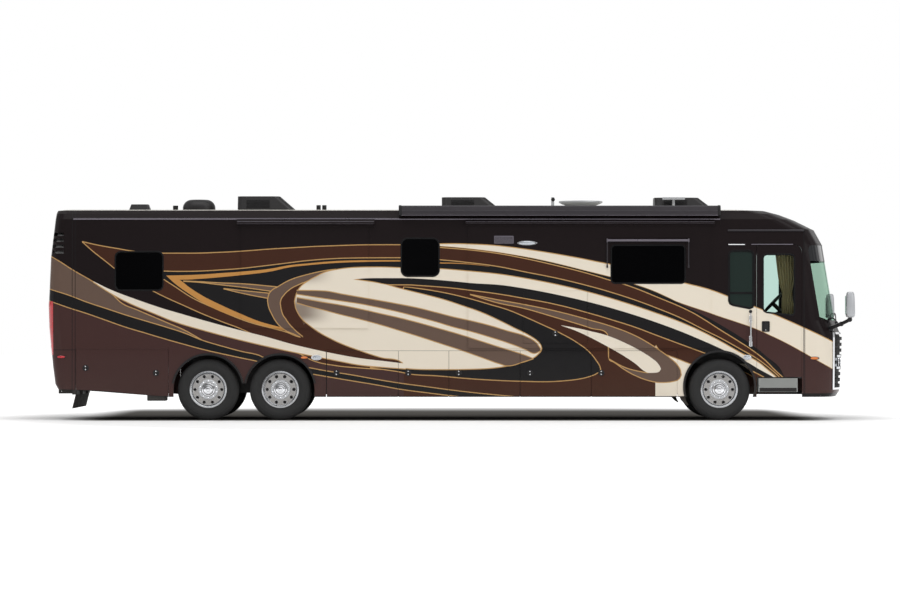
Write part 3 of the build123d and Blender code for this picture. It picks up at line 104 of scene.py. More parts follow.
def add_node(tree: Tree, kind: str, settings: dict[str, object] | None = None,
             links: dict[int | str, object] | None = None) -> bpy.types.Node:
    """Adds one shader node.

    Args:
        tree: The node tree that gets it.
        kind: The node's type name after ShaderNode.
        settings: Attributes of the node.
        links: For each input, a socket to link or a value to set.

    Returns:
        The new node.
    """
    made = tree.nodes.new("ShaderNode" + kind)
    for key, value in (settings or {}).items():
        setattr(made, key, value)
    for key, value in (links or {}).items():
        if isinstance(value, Socket):
            tree.links.new(value, made.inputs[key])
        else:
            made.inputs[key].default_value = value
    return made


def new_material(name: str) -> tuple[bpy.types.Material, Tree]:
    """Starts a material, with its node tree empty."""
    made = bpy.data.materials.new(name)
    made.use_nodes = True
    made.node_tree.nodes.clear()
    return made, made.node_tree


class Pattern(Enum):
    """How a surface was made, which sets its fine relief."""

    SMOOTH = "smooth"
    CAST = "cast"
    MOULDED = "moulded"
    BRUSHED = "brushed"
    HIDE = "hide"
    RIBBED = "ribbed"
    WOVEN = "woven"


@dataclass(frozen=True)
class Finish:
    """One finish of the vehicle, named for its real material.

    The soil share is how much dust lies low down on it, and wear is how far its tone wanders.
    """

    name: str
    colour: str
    roughness: float
    metallic: float = 0.0
    ior: float = 1.5
    coat: float = 0.0
    specular: float = 0.5
    pattern: Pattern = Pattern.SMOOTH
    pattern_mm: float = 1.0
    relief_mm: float = 0.1
    wear: float = 0.12
    soil: float = 0.0
    glow: float = 0.0
    second: str = ""
    soil_z: Point2 = (1.1, 0.35)

    def material(self) -> bpy.types.Material:
        """Builds the finish as a node material, once.

        Returns:
            The material.
        """
        known = bpy.data.materials.get(self.name)
        if known:
            return known
        made, tree = new_material(self.name)
        where = add_node(tree, "TexCoord").outputs["Object"]
        tone = self.tone(tree, where)
        shader = add_node(tree, "BsdfPrincipled", {}, {
            "Base Color": tone,
            "Roughness": self.gloss(tree, where),
            "Metallic": self.metallic,
            "Coat Weight": self.coat,
            "Coat Roughness": 0.04,
            "Specular IOR Level": self.specular,
        })
        if self.metallic == 0.0:
            shader.inputs["IOR"].default_value = self.ior
        if self.glow:
            shader.inputs["Emission Color"].default_value = linear(self.colour)
            shader.inputs["Emission Strength"].default_value = self.glow
        if self.pattern is not Pattern.SMOOTH:
            bump = add_node(tree, "Bump", {}, {
                "Strength": 0.6,
                "Distance": self.relief_mm * MM,
                "Height": self.relief(tree, where),
            })
            tree.links.new(bump.outputs["Normal"], shader.inputs["Normal"])
        add_node(tree, "OutputMaterial", {}, {"Surface": shader.outputs["BSDF"]})
        return made

    def tone(self, tree: Tree, where: Socket) -> Socket:
        """Lets the colour wander a little, with dust low down.

        Args:
            tree: The material's node tree.
            where: The place on the object.

        Returns:
            The colour socket.
        """
        cloud = add_node(tree, "TexNoise", {}, {"Vector": where, "Scale": 3.0, "Detail": 4.0})
        darker = linear(self.second) if self.second else tuple(
            c * (1 - self.wear) for c in linear(self.colour)[:3]
        ) + (1.0,)
        mixed = add_node(tree, "Mix", {"data_type": "RGBA"}, {
            0: cloud.outputs["Fac"], 6: linear(self.colour), 7: darker,
        }).outputs[2]
        if not self.soil:
            return mixed
        height = add_node(tree, "SeparateXYZ", {}, {0: where}).outputs["Z"]
        low = add_node(tree, "MapRange", {"interpolation_type": "SMOOTHSTEP"}, {
            0: height, 1: self.soil_z[0], 2: self.soil_z[1], 3: 0.0, 4: self.soil,
        }).outputs[0]
        return add_node(tree, "Mix", {"data_type": "RGBA"}, {
            0: low, 6: mixed, 7: linear(ROAD_SOIL),
        }).outputs[2]

    def gloss(self, tree: Tree, where: Socket) -> Socket:
        """Varies the roughness around its value, as handling and weather do.

        Args:
            tree: The material's node tree.
            where: The place on the object.

        Returns:
            The roughness socket.
        """
        smear = add_node(tree, "TexNoise", {}, {"Vector": where, "Scale": 9.0, "Detail": 3.0})
        return add_node(tree, "MapRange", {}, {
            0: smear.outputs["Fac"], 1: 0.3, 2: 0.7,
            3: self.roughness * 0.85, 4: min(1.0, self.roughness * 1.2),
        }).outputs[0]

    def relief(self, tree: Tree, where: Socket) -> Socket:
        """Draws the fine relief that the pattern leaves.

        Args:
            tree: The material's node tree.
            where: The place on the object.

        Returns:
            The height socket.
        """
        scale = 1 / (self.pattern_mm * MM)
        if self.pattern is Pattern.HIDE:
            return add_node(tree, "TexVoronoi", {"feature": "SMOOTH_F1"}, {
                "Vector": where, "Scale": scale,
            }).outputs["Distance"]
        if self.pattern in (Pattern.RIBBED, Pattern.WOVEN):
            axis = "Z" if self.pattern is Pattern.RIBBED else "DIAGONAL"
            return add_node(tree, "TexWave", {"bands_direction": axis}, {
                "Vector": where, "Scale": scale / WAVE_TURN, "Distortion": 0.0,
            }).outputs["Fac"]
        if self.pattern is Pattern.BRUSHED:
            squeezed = add_node(tree, "Mapping", {}, {
                "Vector": where, "Scale": (0.05, 1.0, 1.0),
            }).outputs["Vector"]
            return add_node(tree, "TexNoise", {}, {
                "Vector": squeezed, "Scale": scale, "Detail": 2.0,
            }).outputs["Fac"]
        detail = 6.0 if self.pattern is Pattern.CAST else 2.0
        return add_node(tree, "TexNoise", {}, {
            "Vector": where, "Scale": scale, "Detail": detail,
        }).outputs["Fac"]


class Metal:
    """Bare and plated metals."""

    # Chrome plate over steel: a mirror with the slightest smear from hands
    CHROME = Finish("chrome_plate", "#dcdde0", 0.06, 1.0, wear=0.06)
    # Forged aluminium, polished: bright with a soft edge to what it mirrors
    POLISHED = Finish("polished_forged_aluminium", "#c3c5c8", 0.18, 1.0, wear=0.2,
                      pattern=Pattern.BRUSHED, pattern_mm=2.5, relief_mm=0.05)
    # The forged disc behind the lip, brushed: bright, with a streaked mirror
    FORGED = Finish("brushed_forged_disc", "#aeacaa", 0.18, 1.0, wear=0.3,
                    pattern=Pattern.BRUSHED, pattern_mm=2.0, relief_mm=0.06)
    # Extruded aluminium tread plate, mill finish: grey, with ribs along it
    TREAD_PLATE = Finish("ribbed_mill_aluminium", "#a9aba8", 0.38, 0.7, wear=0.15,
                         pattern=Pattern.RIBBED, pattern_mm=9.0, relief_mm=1.2)
    # Extruded aluminium with dark powder coat: even, with a dull sheen
    AWNING = Finish("powder_coated_extrusion", "#2b272c", 0.34, 0.0, specular=0.35, wear=0.12,
                    pattern=Pattern.MOULDED, pattern_mm=2.0, relief_mm=0.05)
    # The lighter anodised edge of the same extrusions
    ANODISED = Finish("grey_anodised_edge", "#6d6870", 0.3, 0.85, wear=0.1,
                      pattern=Pattern.BRUSHED, pattern_mm=1.5, relief_mm=0.03)
    # Painted steel under the body: satin black with road dust
    CHASSIS = Finish("satin_chassis_enamel", "#1b1b1c", 0.5, wear=0.25, soil=0.12,
                     pattern=Pattern.CAST, pattern_mm=4.0, relief_mm=0.2)
    # Grey cast iron with a thin coat of paint: pebbled, dull
    CAST_IRON = Finish("painted_cast_iron", "#29282a", 0.62, wear=0.3, soil=0.15,
                       pattern=Pattern.CAST, pattern_mm=3.0, relief_mm=0.5)
    # Silver-painted pressed aluminium of the dish
    DISH = Finish("silver_painted_aluminium", "#b3b5b8", 0.35, 0.3, wear=0.12,
                  pattern=Pattern.MOULDED, pattern_mm=2.0, relief_mm=0.04)


class Plastic:
    """Mouldings, lenses and rubbers."""

    # ABS with a gloss skin: the black frames of the windows
    GLOSS_BLACK = Finish("gloss_black_abs", "#0c0c0e", 0.12, specular=0.3, wear=0.1)
    # Grained polypropylene: arch trims, louvres and latches
    GRAINED_BLACK = Finish("grained_polypropylene", "#171618", 0.45, specular=0.3, wear=0.15,
                           soil=0.06, pattern=Pattern.MOULDED, pattern_mm=1.8, relief_mm=0.12)
    # Vacuum-formed cover of the roof units: dark, slightly dusty
    ROOF_COVER = Finish("vacuum_formed_abs", "#191718", 0.42, specular=0.35, wear=0.2,
                        pattern=Pattern.MOULDED, pattern_mm=3.0, relief_mm=0.15)
    # Satin coating inside the luggage bays
    BAY_COAT = Finish("grey_bay_coating", "#4a4a4b", 0.6, wear=0.2, soil=0.08,
                      pattern=Pattern.CAST, pattern_mm=2.5, relief_mm=0.15)
    # Grained soft moulding of the dashboard
    DASH = Finish("grained_dash_moulding", "#2e2520", 0.55, specular=0.3, wear=0.15,
                  pattern=Pattern.HIDE, pattern_mm=3.0, relief_mm=0.3)
    # Moulded slats of the front grille: a matt black that mirrors little
    GRILLE_BLACK = Finish("moulded_grille_black", "#131314", 0.5, ior=1.2, specular=0.15)
    # Natural rubber with carbon black: tyres, dull with grey bloom
    TYRE = Finish("tyre_rubber", "#2a2725", 0.5, specular=0.5, wear=0.3, soil=0.10,
                  pattern=Pattern.MOULDED, pattern_mm=4.0, relief_mm=0.25)
    # Ribbed rubber sheet of the mud flap
    FLAP = Finish("ribbed_rubber_sheet", "#1a1a1b", 0.65, specular=0.25, wear=0.25, soil=0.2,
                  pattern=Pattern.RIBBED, pattern_mm=24.0, relief_mm=2.0)
    # Red polycarbonate over the tail lamps: deep red, lit a little from behind
    RED_LENS = Finish("red_polycarbonate", "#c01522", 0.08, coat=0.5, wear=0.35, glow=0.12)
    # Amber polycarbonate of the side markers
    AMBER_LENS = Finish("amber_polycarbonate", "#d9772b", 0.1, coat=0.5, wear=0.2, glow=0.12)
    # Clear lens with the silvered bowl behind it
    LAMP_BOWL = Finish("silvered_lamp_bowl", "#c7ccd2", 0.12, 0.75, wear=0.25)


class Soft:
    """Hides and cloths of the cab."""

    # Chrome-tanned hide, tan, with a fine grain and creases
    LEATHER = Finish("tan_leather", "#7c5f45", 0.5, specular=0.35, wear=0.3,
                     pattern=Pattern.HIDE, pattern_mm=6.0, relief_mm=0.5)
    # Woven blackout curtain at the front pillars, a warm beige
    CURTAIN = Finish("woven_curtain", "#a48c6c", 0.85, specular=0.2, wear=0.2,
                     pattern=Pattern.WOVEN, pattern_mm=6.0, relief_mm=0.5)


class Paint(Enum):
    """The colours laid on the body, sRGB."""

    NIGHT = "#1c1617"
    UMBER = "#43291f"
    CHESTNUT = "#45302e"
    TAUPE = "#66544a"
    CREAM = "#e6dccb"
    JET = "#1f1e1f"
    GOLD = "#c08a4c"
    PINSTRIPE = "#bd9560"
    GEL_COAT = "#c4c1ba"
    DUST = "#8a7f72"


@dataclass(frozen=True)
class Band:
    """One swoosh of the paint scheme, between an upper and a lower outline along the side.

    Each outline is points in X and Z with X rising. A gold pinstripe runs along the edges named
    by its letters, U for the upper one and L for the lower one.
    """

    name: str
    paint: Paint
    gold: str
    upper: Outline
    lower: Outline


# The front sweep's top, from the middle of the roof down to the nose's foot
FRONT_ARC: Outline = (
    (-0.142, 2.943), (0.396, 2.897), (0.836, 2.841), (1.323, 2.75), (1.817, 2.639), (2.306, 2.517),
    (2.795, 2.37), (3.058, 2.292), (3.55, 2.098), (4.118, 1.851), (4.373, 1.702), (4.62, 1.543),
    (4.903, 1.368), (5.185, 1.184), (5.383, 1.029), (5.567, 0.845), (5.722, 0.704), (5.92, 0.506),
)
# The underside of the upper cream, down to the nose
CREAM_FOOT: Outline = (
    (-1.6, 2.4), (-1.189, 2.421), (-0.824, 2.421), (-0.368, 2.403), (0.089, 2.366), (0.393, 2.336),
    (0.88, 2.304), (1.221, 2.256), (1.562, 2.196), (2.073, 2.089), (2.584, 1.963), (3.01, 1.84),
    (3.436, 1.702), (3.947, 1.515), (4.288, 1.373), (4.629, 1.222), (4.97, 1.055), (5.31, 0.857),
    (5.552, 0.722), (5.75, 0.591),
)
# The underside of the front cream, back to front as far as the door
BROW: Outline = (
    (-0.672, 2.981), (-0.17, 2.963), (0.089, 2.945), (0.393, 2.914), (0.697, 2.878),
    (1.002, 2.832), (1.306, 2.78), (1.61, 2.719), (1.915, 2.649), (2.219, 2.573), (2.523, 2.497),
    (2.767, 2.436), (2.949, 2.385), (3.132, 2.324), (3.436, 2.22), (3.74, 2.086), (3.871, 2.023),
)
# The front cream's underside from there on, round the nose
NOSE_EDGE: Outline = (
    (4.055, 1.956), (4.338, 1.862), (4.62, 1.763), (4.903, 1.67), (5.185, 1.571), (5.468, 1.447),
    (5.751, 1.311), (6.033, 1.156), (6.316, 0.995), (6.528, 0.882), (6.881, 0.704),
)
# The lower edge of the front brown
NOSE_FOOT: Outline = (
    (4.055, 1.924), (4.168, 1.874), (4.451, 1.727), (4.62, 1.631), (4.903, 1.461), (5.185, 1.269),
    (5.383, 1.113),
)
# The tail brown's top, from the rear window to the drive wheel
TAIL_FALL: Outline = (
    (-6.054, 2.35), (-5.726, 2.142), (-5.433, 1.99), (-5.009, 1.813), (-4.658, 1.673),
    (-4.147, 1.522), (-3.636, 1.387), (-3.124, 1.264), (-2.528, 1.135), (-2.187, 1.068),
    (-1.846, 1), (-1.506, 0.937), (-1.165, 0.905), (-0.732, 0.872),
)

BANDS: tuple[Band, ...] = (
    Band("tail_brown", Paint.CHESTNUT, "", (
        (-7.259, 2.954), (-6.933, 2.856), (-6.721, 2.758), (-6.379, 2.546), *TAIL_FALL,
    ), (
        (-7.259, -0.47), (-0.733, -0.165),
    )),
    Band("tail_taupe", Paint.TAUPE, "U", (
        (-7.259, 2.954), (-6.933, 2.856), (-6.721, 2.758), (-6.379, 2.546), (-6.053, 2.357),
        (-5.727, 2.139), (-5.564, 1.992), (-5.303, 1.878), (-5.01, 1.754), (-4.782, 1.656),
        (-4.521, 1.545), (-4.195, 1.363),
    ), (
        (-7.259, 2.367), (-6.933, 2.285), (-6.738, 2.214), (-6.477, 2.132), (-6.151, 2.008),
        (-5.825, 1.901), (-5.499, 1.793), (-5.173, 1.695), (-4.847, 1.597), (-4.521, 1.493),
        (-4.195, 1.356),
    )),
    Band("upper_brown", Paint.UMBER, "UL", (
        (-6.249, 3.045), (-5.988, 2.986), (-5.662, 2.928), (-5.303, 2.872), (-4.847, 2.846),
        (-4.358, 2.846), (-3.869, 2.862), (-3.543, 2.879), (-3.054, 2.915), (-2.565, 2.944),
        (-2.285, 2.96), (-1.95, 2.972), (-1.493, 2.987), (-0.885, 2.99), *FRONT_ARC,
    ), (
        (-6.249, 3.045), (-6.053, 2.872), (-5.825, 2.693), (-5.662, 2.562), (-5.368, 2.367),
        (-5.042, 2.204), (-4.847, 2.106), (-4.521, 1.959), (-4.195, 1.813), (-3.869, 1.682),
        (-3.51, 1.545), (-3.054, 1.324), (-2.565, 1.144), (-2.285, 1.006), (-1.919, 0.93),
        (-1.554, 0.894), (-1.189, 0.869), (-0.763, 0.851),
    )),
    Band("front_umber", Paint.UMBER, "U", (
        (-0.763, 2.943), *FRONT_ARC,
    ), (
        (-0.763, -0.847), (5.924, -0.847),
    )),
    Band("heart_black", Paint.JET, "UL", (
        (-5.042, 2.556), (-4.879, 2.543), (-4.521, 2.536), (-4.195, 2.543), (-3.869, 2.562),
        (-3.543, 2.585), (-3.217, 2.621), (-2.891, 2.66), (-2.711, 2.683), (-2.406, 2.719),
        (-1.95, 2.753), (-1.493, 2.765), (-0.794, 2.768), (-0.142, 2.733), (0.396, 2.679),
        (0.836, 2.619), (1.325, 2.522), (1.817, 2.425), (2.356, 2.295), (2.795, 2.171),
        (3.284, 2.009), (3.55, 1.908), (3.928, 1.753), (4.373, 1.528), (4.629, 1.402),
        (4.97, 1.212), (5.259, 1.045), (5.469, 0.886), (5.638, 0.733), (5.864, 0.506),
    ), (
        (-5.042, 2.53), (-4.879, 2.416), (-4.651, 2.269), (-4.358, 2.08), (-4.032, 1.927),
        (-3.706, 1.787), (-3.38, 1.666), (-2.988, 1.562), (-2.802, 1.514), (-2.467, 1.411),
        (-2.285, 1.782), (-2.102, 2.208), (-1.798, 2.452), (-1.189, 2.528), (-0.794, 2.512),
        (-0.17, 2.512), (0.393, 2.452), (1.002, 2.36), (1.306, 2.278), (1.915, 2.132),
        (2.523, 1.965), (2.925, 1.905), (3.49, 1.693), (4.055, 1.467), (4.451, 1.311),
        (4.903, 1.099), (5.298, 0.901), (5.638, 0.675),
    )),
    Band("gold_upper", Paint.GOLD, "", (
        (-4.814, 2.465), (-4.521, 2.471), (-4.195, 2.484), (-3.869, 2.507), (-3.543, 2.53),
        (-3.054, 2.579), (-2.711, 2.64), (-2.406, 2.671), (-1.95, 2.71), (-1.493, 2.725),
        (-0.794, 2.728), (-0.17, 2.689), (0.089, 2.683), (0.393, 2.662), (0.697, 2.622),
    ), (
        (-4.814, 2.465), (-4.586, 2.393), (-4.195, 2.412), (-3.869, 2.439), (-3.543, 2.471),
        (-3.054, 2.53), (-2.711, 2.604), (-2.406, 2.64), (-1.95, 2.677), (-1.493, 2.695),
        (-0.794, 2.704), (-0.17, 2.671), (0.089, 2.668), (0.393, 2.652), (0.697, 2.619),
    )),
    Band("gold_lower", Paint.GOLD, "", (
        (-4.814, 2.465), (-4.586, 2.393), (-4.423, 2.269), (-4.195, 2.122), (-3.869, 1.959),
        (-3.543, 1.813), (-3.217, 1.682), (-2.891, 1.591), (-2.695, 1.532),
    ), (
        (-4.814, 2.465), (-4.651, 2.318), (-4.423, 2.155), (-4.195, 2.008), (-3.869, 1.845),
        (-3.543, 1.731), (-3.217, 1.627), (-2.923, 1.555), (-2.695, 1.513),
    )),
    Band("streak_upper", Paint.TAUPE, "UL", (
        (-4.521, 2.373), (-4.232, 2.36), (-3.928, 2.342), (-3.502, 2.324), (-2.893, 2.269),
    ), (
        (-4.521, 2.367), (-4.232, 2.348), (-3.928, 2.312), (-3.502, 2.263), (-2.893, 2.178),
    )),
    Band("streak_lower", Paint.TAUPE, "UL", (
        (-3.836, 2.245), (-3.502, 2.208), (-3.045, 2.162), (-2.863, 2.141),
    ), (
        (-3.836, 2.239), (-3.502, 2.159), (-3.167, 2.093), (-2.863, 2.044),
    )),
    Band("crescent_taupe", Paint.TAUPE, "UL", (
        (-3.085, 2.041), (-3.07, 2.123), (-3.03, 2.193), (-2.908, 2.275), (-2.711, 2.385),
        (-2.406, 2.482), (-2.102, 2.549), (-1.919, 2.573),
    ), (
        (-3.085, 2.041), (-3.07, 1.949), (-3.015, 1.813), (-2.924, 1.66), (-2.802, 1.545),
        (-2.65, 1.472), (-2.467, 1.411), (-1.919, 1.965),
    )),
    Band("crescent_foot", Paint.UMBER, "", (
        (-2.528, 1.539), (-2.406, 1.721), (-2.285, 1.965), (-2.102, 2.147), (-1.919, 2.208),
    ), (
        (-2.528, 1.417), (-2.406, 1.341), (-2.285, 1.265), (-2.102, 1.18), (-1.919, 1.097),
    )),
    Band("crescent_umber", Paint.UMBER, "UL", (
        (-2.869, 1.995), (-2.857, 2.05), (-2.817, 2.117), (-2.711, 2.223), (-2.528, 2.321),
        (-2.285, 2.415), (-2.102, 2.436),
    ), (
        (-2.869, 1.995), (-2.848, 1.873), (-2.771, 1.721), (-2.65, 1.569), (-2.476, 1.417),
    )),
    Band("crescent_top", Paint.UMBER, "U", (
        (-2.479, 2.339), (-2.285, 2.415), (-2.102, 2.436),
    ), (
        (-2.479, 1.66), (-2.102, 1.66),
    )),
    Band("nose_black", Paint.JET, "UL", (
        (-1.341, 0.906), (-0.809, 0.9), (-0.791, 1.965), (-0.763, 2.269), (-0.52, 2.245),
        (-0.215, 2.199), (0.089, 2.138), (0.393, 2.062), (0.697, 1.974), (1.002, 1.883),
        (1.306, 1.758), (1.61, 1.621), (1.915, 1.478), (2.219, 1.301), (2.401, 1.158),
        (2.523, 1.006), (2.578, 0.915), (2.59, 0.869),
    ), (
        (-1.341, 0.894), (-0.824, 0.821), (-0.641, 0.784), (-0.215, 0.757), (0.393, 0.705),
        (1.002, 0.671), (1.306, 0.662), (1.61, 0.656), (1.915, 0.668), (2.219, 0.702),
        (2.401, 0.745), (2.523, 0.796), (2.578, 0.839), (2.59, 0.869),
    )),
    Band("lower_cream", Paint.CREAM, "UL", (
        (-2.625, 2.026), (-2.604, 2.117), (-2.528, 2.193), (-2.102, 2.299), (-1.6, 2.4),
        (-1.189, 2.345), (-0.824, 2.245), (-0.368, 2.132), (-0.063, 2.05), (0.241, 1.949),
        (0.545, 1.843), (0.88, 1.691), (1.123, 1.569), (1.367, 1.447), (1.519, 1.341),
        (1.574, 1.271), (1.586, 1.219),
    ), (
        (-2.625, 2.026), (-2.613, 1.937), (-2.574, 1.842), (-2.497, 1.726), (-2.358, 1.605),
        (-2.187, 1.486), (-2.017, 1.394), (-1.846, 1.312), (-1.506, 1.183), (-1.165, 1.072),
        (-0.788, 0.978), (-0.732, 0.883), (-0.215, 0.863), (0.393, 0.869), (0.85, 0.9),
        (1.154, 0.961), (1.428, 1.052), (1.543, 1.143), (1.58, 1.189), (1.586, 1.219),
    )),
    Band("upper_cream", Paint.CREAM, "U", (
        (-2.625, 2.026), (-2.604, 2.132), (-2.528, 2.269), (-2.406, 2.366), (-2.254, 2.452),
        (-2.102, 2.525), (-1.919, 2.567), (-1.706, 2.595), (-1.493, 2.607), (-1.189, 2.61),
        (-0.794, 2.598), (-0.17, 2.582), (0.089, 2.564), (0.393, 2.537), (0.88, 2.486),
        (1.221, 2.432), (1.562, 2.37), (2.073, 2.261), (2.584, 2.128), (3.01, 2), (3.436, 1.859),
        (3.947, 1.672), (4.288, 1.522), (4.629, 1.346), (4.97, 1.152), (5.259, 1.002),
        (5.411, 0.881), (5.609, 0.714), (5.835, 0.52),
    ), (
        (-2.625, 2.026), (-2.528, 2.086), (-2.102, 2.208), (-1.798, 2.299), *CREAM_FOOT,
    )),
    Band("sash_upper", Paint.TAUPE, "UL", (
        (-2.589, 2.214), (-2.102, 2.202), (-1.798, 2.147), (-1.493, 2.093), (-1.189, 2.041),
        (-0.824, 1.974), (-0.52, 1.913), (-0.215, 1.837), (0.089, 1.758), (0.393, 1.691),
        (0.697, 1.615), (1.002, 1.523), (1.306, 1.432), (1.489, 1.326), (1.565, 1.219),
    ), (
        (-2.589, 2.147), (-2.102, 2.071), (-1.798, 2.026), (-1.493, 1.98), (-1.189, 1.919),
        (-0.824, 1.837), (-0.52, 1.758), (-0.215, 1.676), (0.089, 1.584), (0.393, 1.508),
        (0.697, 1.417), (1.002, 1.32), (1.306, 1.204), (1.458, 1.137), (1.565, 1.18),
    )),
    Band("sash_lower", Paint.TAUPE, "UL", (
        (-2.589, 2.091), (-2.358, 2.05), (-2.187, 2.019), (-1.846, 1.963), (-1.506, 1.895),
        (-1.165, 1.818), (-0.824, 1.741), (-0.483, 1.653), (-0.142, 1.557), (0.198, 1.459),
        (0.539, 1.351), (0.88, 1.241), (1.306, 1.106), (1.442, 1.051),
    ), (
        (-2.589, 1.999), (-2.358, 1.932), (-2.187, 1.891), (-1.846, 1.801), (-1.506, 1.718),
        (-1.165, 1.626), (-0.824, 1.523), (-0.483, 1.418), (-0.142, 1.307), (0.198, 1.196),
        (0.539, 1.075), (0.88, 0.956), (0.999, 0.925), (1.306, 1.004), (1.442, 1.046),
    )),
    Band("sweep_black", Paint.JET, "L", (
        *CREAM_FOOT,
    ), (
        (-1.6, 2.4), (-1.311, 2.36), (-0.976, 2.306), (-0.672, 2.306), (-0.52, 2.296),
        (-0.215, 2.275), (0.089, 2.248), (0.396, 2.21), (0.836, 2.152), (1.275, 2.077),
        (1.814, 1.975), (2.414, 1.818), (2.792, 1.706), (3.17, 1.586), (3.55, 1.443),
        (3.928, 1.302), (4.344, 1.15), (4.901, 0.951), (5.355, 0.741), (5.552, 0.605),
    )),
    Band("corner_cream", Paint.CREAM, "U", (
        (3.521, 1.283), (3.617, 1.159), (3.773, 1.091), (3.913, 1.038), (4.118, 0.958),
        (4.39, 0.874),
    ), (
        (3.521, 0.141), (4.39, 0.141),
    )),
    Band("loop_taupe", Paint.TAUPE, "UL", (
        (0.362, 2.145), (0.836, 2.052), (1.275, 1.973), (1.817, 1.861), (2.414, 1.704),
        (2.792, 1.592), (3.17, 1.443), (3.455, 1.283), (3.625, 1.169), (3.777, 1.056),
        (3.891, 0.949), (3.952, 0.847), (3.964, 0.772),
    ), (
        (0.362, 2.142), (0.836, 1.999), (1.275, 1.908), (1.814, 1.753), (2.414, 1.571),
        (2.71, 1.457), (2.727, 1.045), (2.829, 0.98), (2.981, 0.871), (3.17, 0.765),
        (3.436, 0.668), (3.625, 0.642), (3.814, 0.658), (3.928, 0.705), (3.964, 0.772),
    )),
    Band("leaf_umber", Paint.UMBER, "L", (
        (2.727, 1.431), (2.981, 1.321), (3.266, 1.179), (3.402, 1.079),
    ), (
        (2.727, 1.045), (2.981, 0.908), (3.209, 0.84), (3.402, 0.806),
    )),
    Band("leaf_cream", Paint.CREAM, "", (
        (1.914, 1.617), (2.158, 1.574), (2.414, 1.517), (2.698, 1.443), (2.981, 1.327),
        (3.266, 1.181), (3.455, 1.06), (3.569, 0.961), (3.606, 0.898), (3.615, 0.871),
    ), (
        (1.914, 1.614), (2.158, 1.527), (2.414, 1.409), (2.698, 1.259), (2.981, 1.097),
        (3.17, 0.971), (3.341, 0.833), (3.419, 0.806), (3.511, 0.808), (3.588, 0.83),
        (3.615, 0.871),
    )),
    Band("front_cream", Paint.CREAM, "UL", (
        (-0.672, 2.993), (-0.17, 3.005), (0.089, 3.008), (0.393, 2.999), (0.697, 2.984),
        (1.002, 2.954), (1.306, 2.914), (1.61, 2.868), (1.915, 2.817), (2.219, 2.762),
        (2.523, 2.701), (2.767, 2.652), (4.013, 2.337), (4.451, 2.224), (4.762, 2.108),
        (5.157, 1.956), (5.355, 1.876), (5.609, 1.772), (6.061, 1.571), (6.514, 1.359),
        (6.881, 1.184),
    ), (
        *BROW, *NOSE_EDGE,
    )),
    Band("front_brown", Paint.CHESTNUT, "", (
        (3.871, 2.023), *NOSE_EDGE,
    ), (
        (3.871, 2.023), *NOSE_FOOT, (5.708, 0.755), (5.736, 0.138), (6.881, -0.144),
    )),
    Band("front_line", Paint.JET, "L", (
        *BROW, *NOSE_FOOT, (5.722, 0.743),
    ), (
        (-0.672, 2.981), *FRONT_ARC,
    )),
    Band("sweep_cream", Paint.CREAM, "L", (
        (-6.054, 2.367), (-5.759, 2.225), (-5.304, 2.052), (-4.847, 1.897), (-4.658, 1.842),
        (-4.147, 1.694), (-3.636, 1.554), (-3.124, 1.425), (-2.698, 1.304), (-2.358, 1.222),
        (-2.017, 1.148), (-1.506, 1.056), (-1.08, 1.005), (-0.732, 0.963),
    ), (
        *TAIL_FALL,
    )),
    Band("tail_black", Paint.JET, "UL", (
        (-7.259, 2.351), (-6.933, 2.269), (-6.738, 2.214), (-6.477, 2.132), (-6.151, 2.008),
        (-5.825, 1.901), (-5.499, 1.793), (-5.173, 1.695), (-4.847, 1.597), (-4.521, 1.493),
        (-4.195, 1.363), (-3.869, 1.265), (-3.543, 1.177), (-3.217, 1.102), (-3.167, 1.076),
        (-2.802, 0.985), (-2.467, 0.915), (-2.102, 0.845), (-1.646, 0.772), (-1.189, 0.69),
        (-0.824, 0.632), (-0.368, 0.571), (0.089, 0.51), (0.545, 0.458), (1.123, 0.404),
        (1.489, 0.367),
    ), (
        (-7.259, 2.139), (-6.933, 2.067), (-6.738, 2.008), (-6.477, 1.917), (-6.151, 1.813),
        (-5.825, 1.698), (-5.499, 1.584), (-5.173, 1.487), (-4.847, 1.389), (-4.521, 1.297),
        (-4.195, 1.209), (-3.869, 1.134), (-3.543, 1.063), (-3.217, 0.991), (-3.137, 0.961),
        (-2.863, 0.9), (-2.406, 0.802), (-2.102, 0.748), (-1.646, 0.671), (-1.189, 0.595),
        (-0.824, 0.528), (-0.368, 0.468), (0.089, 0.413), (0.545, 0.367), (1.123, 0.322),
        (1.489, 0.291),
    )),
)


def slopes(points: Outline) -> list[float]:
    """Finds the slope of an outline at each of its points."""
    found = []
    for i in range(len(points)):
        before, after = points[max(i - 1, 0)], points[min(i + 1, len(points) - 1)]
        found.append((after[1] - before[1]) / max(after[0] - before[0], LEAST_X))
    return found


def offset(points: Outline, distance: float) -> Outline:
    """Moves an outline sideways by a distance, upwards where it is positive.

    Args:
        points: The outline, X rising.
        distance: How far it moves at right angles to itself.

    Returns:
        The new outline, X rising.
    """
    moved: list[Point2] = []
    for (x, z), slope in zip(points, slopes(points)):
        length = math.hypot(1.0, slope)
        at = (x - slope / length * distance, z + distance / length)
        if not moved or at[0] > moved[-1][0] + LEAST_X:
            moved.append(at)
    return tuple(moved)


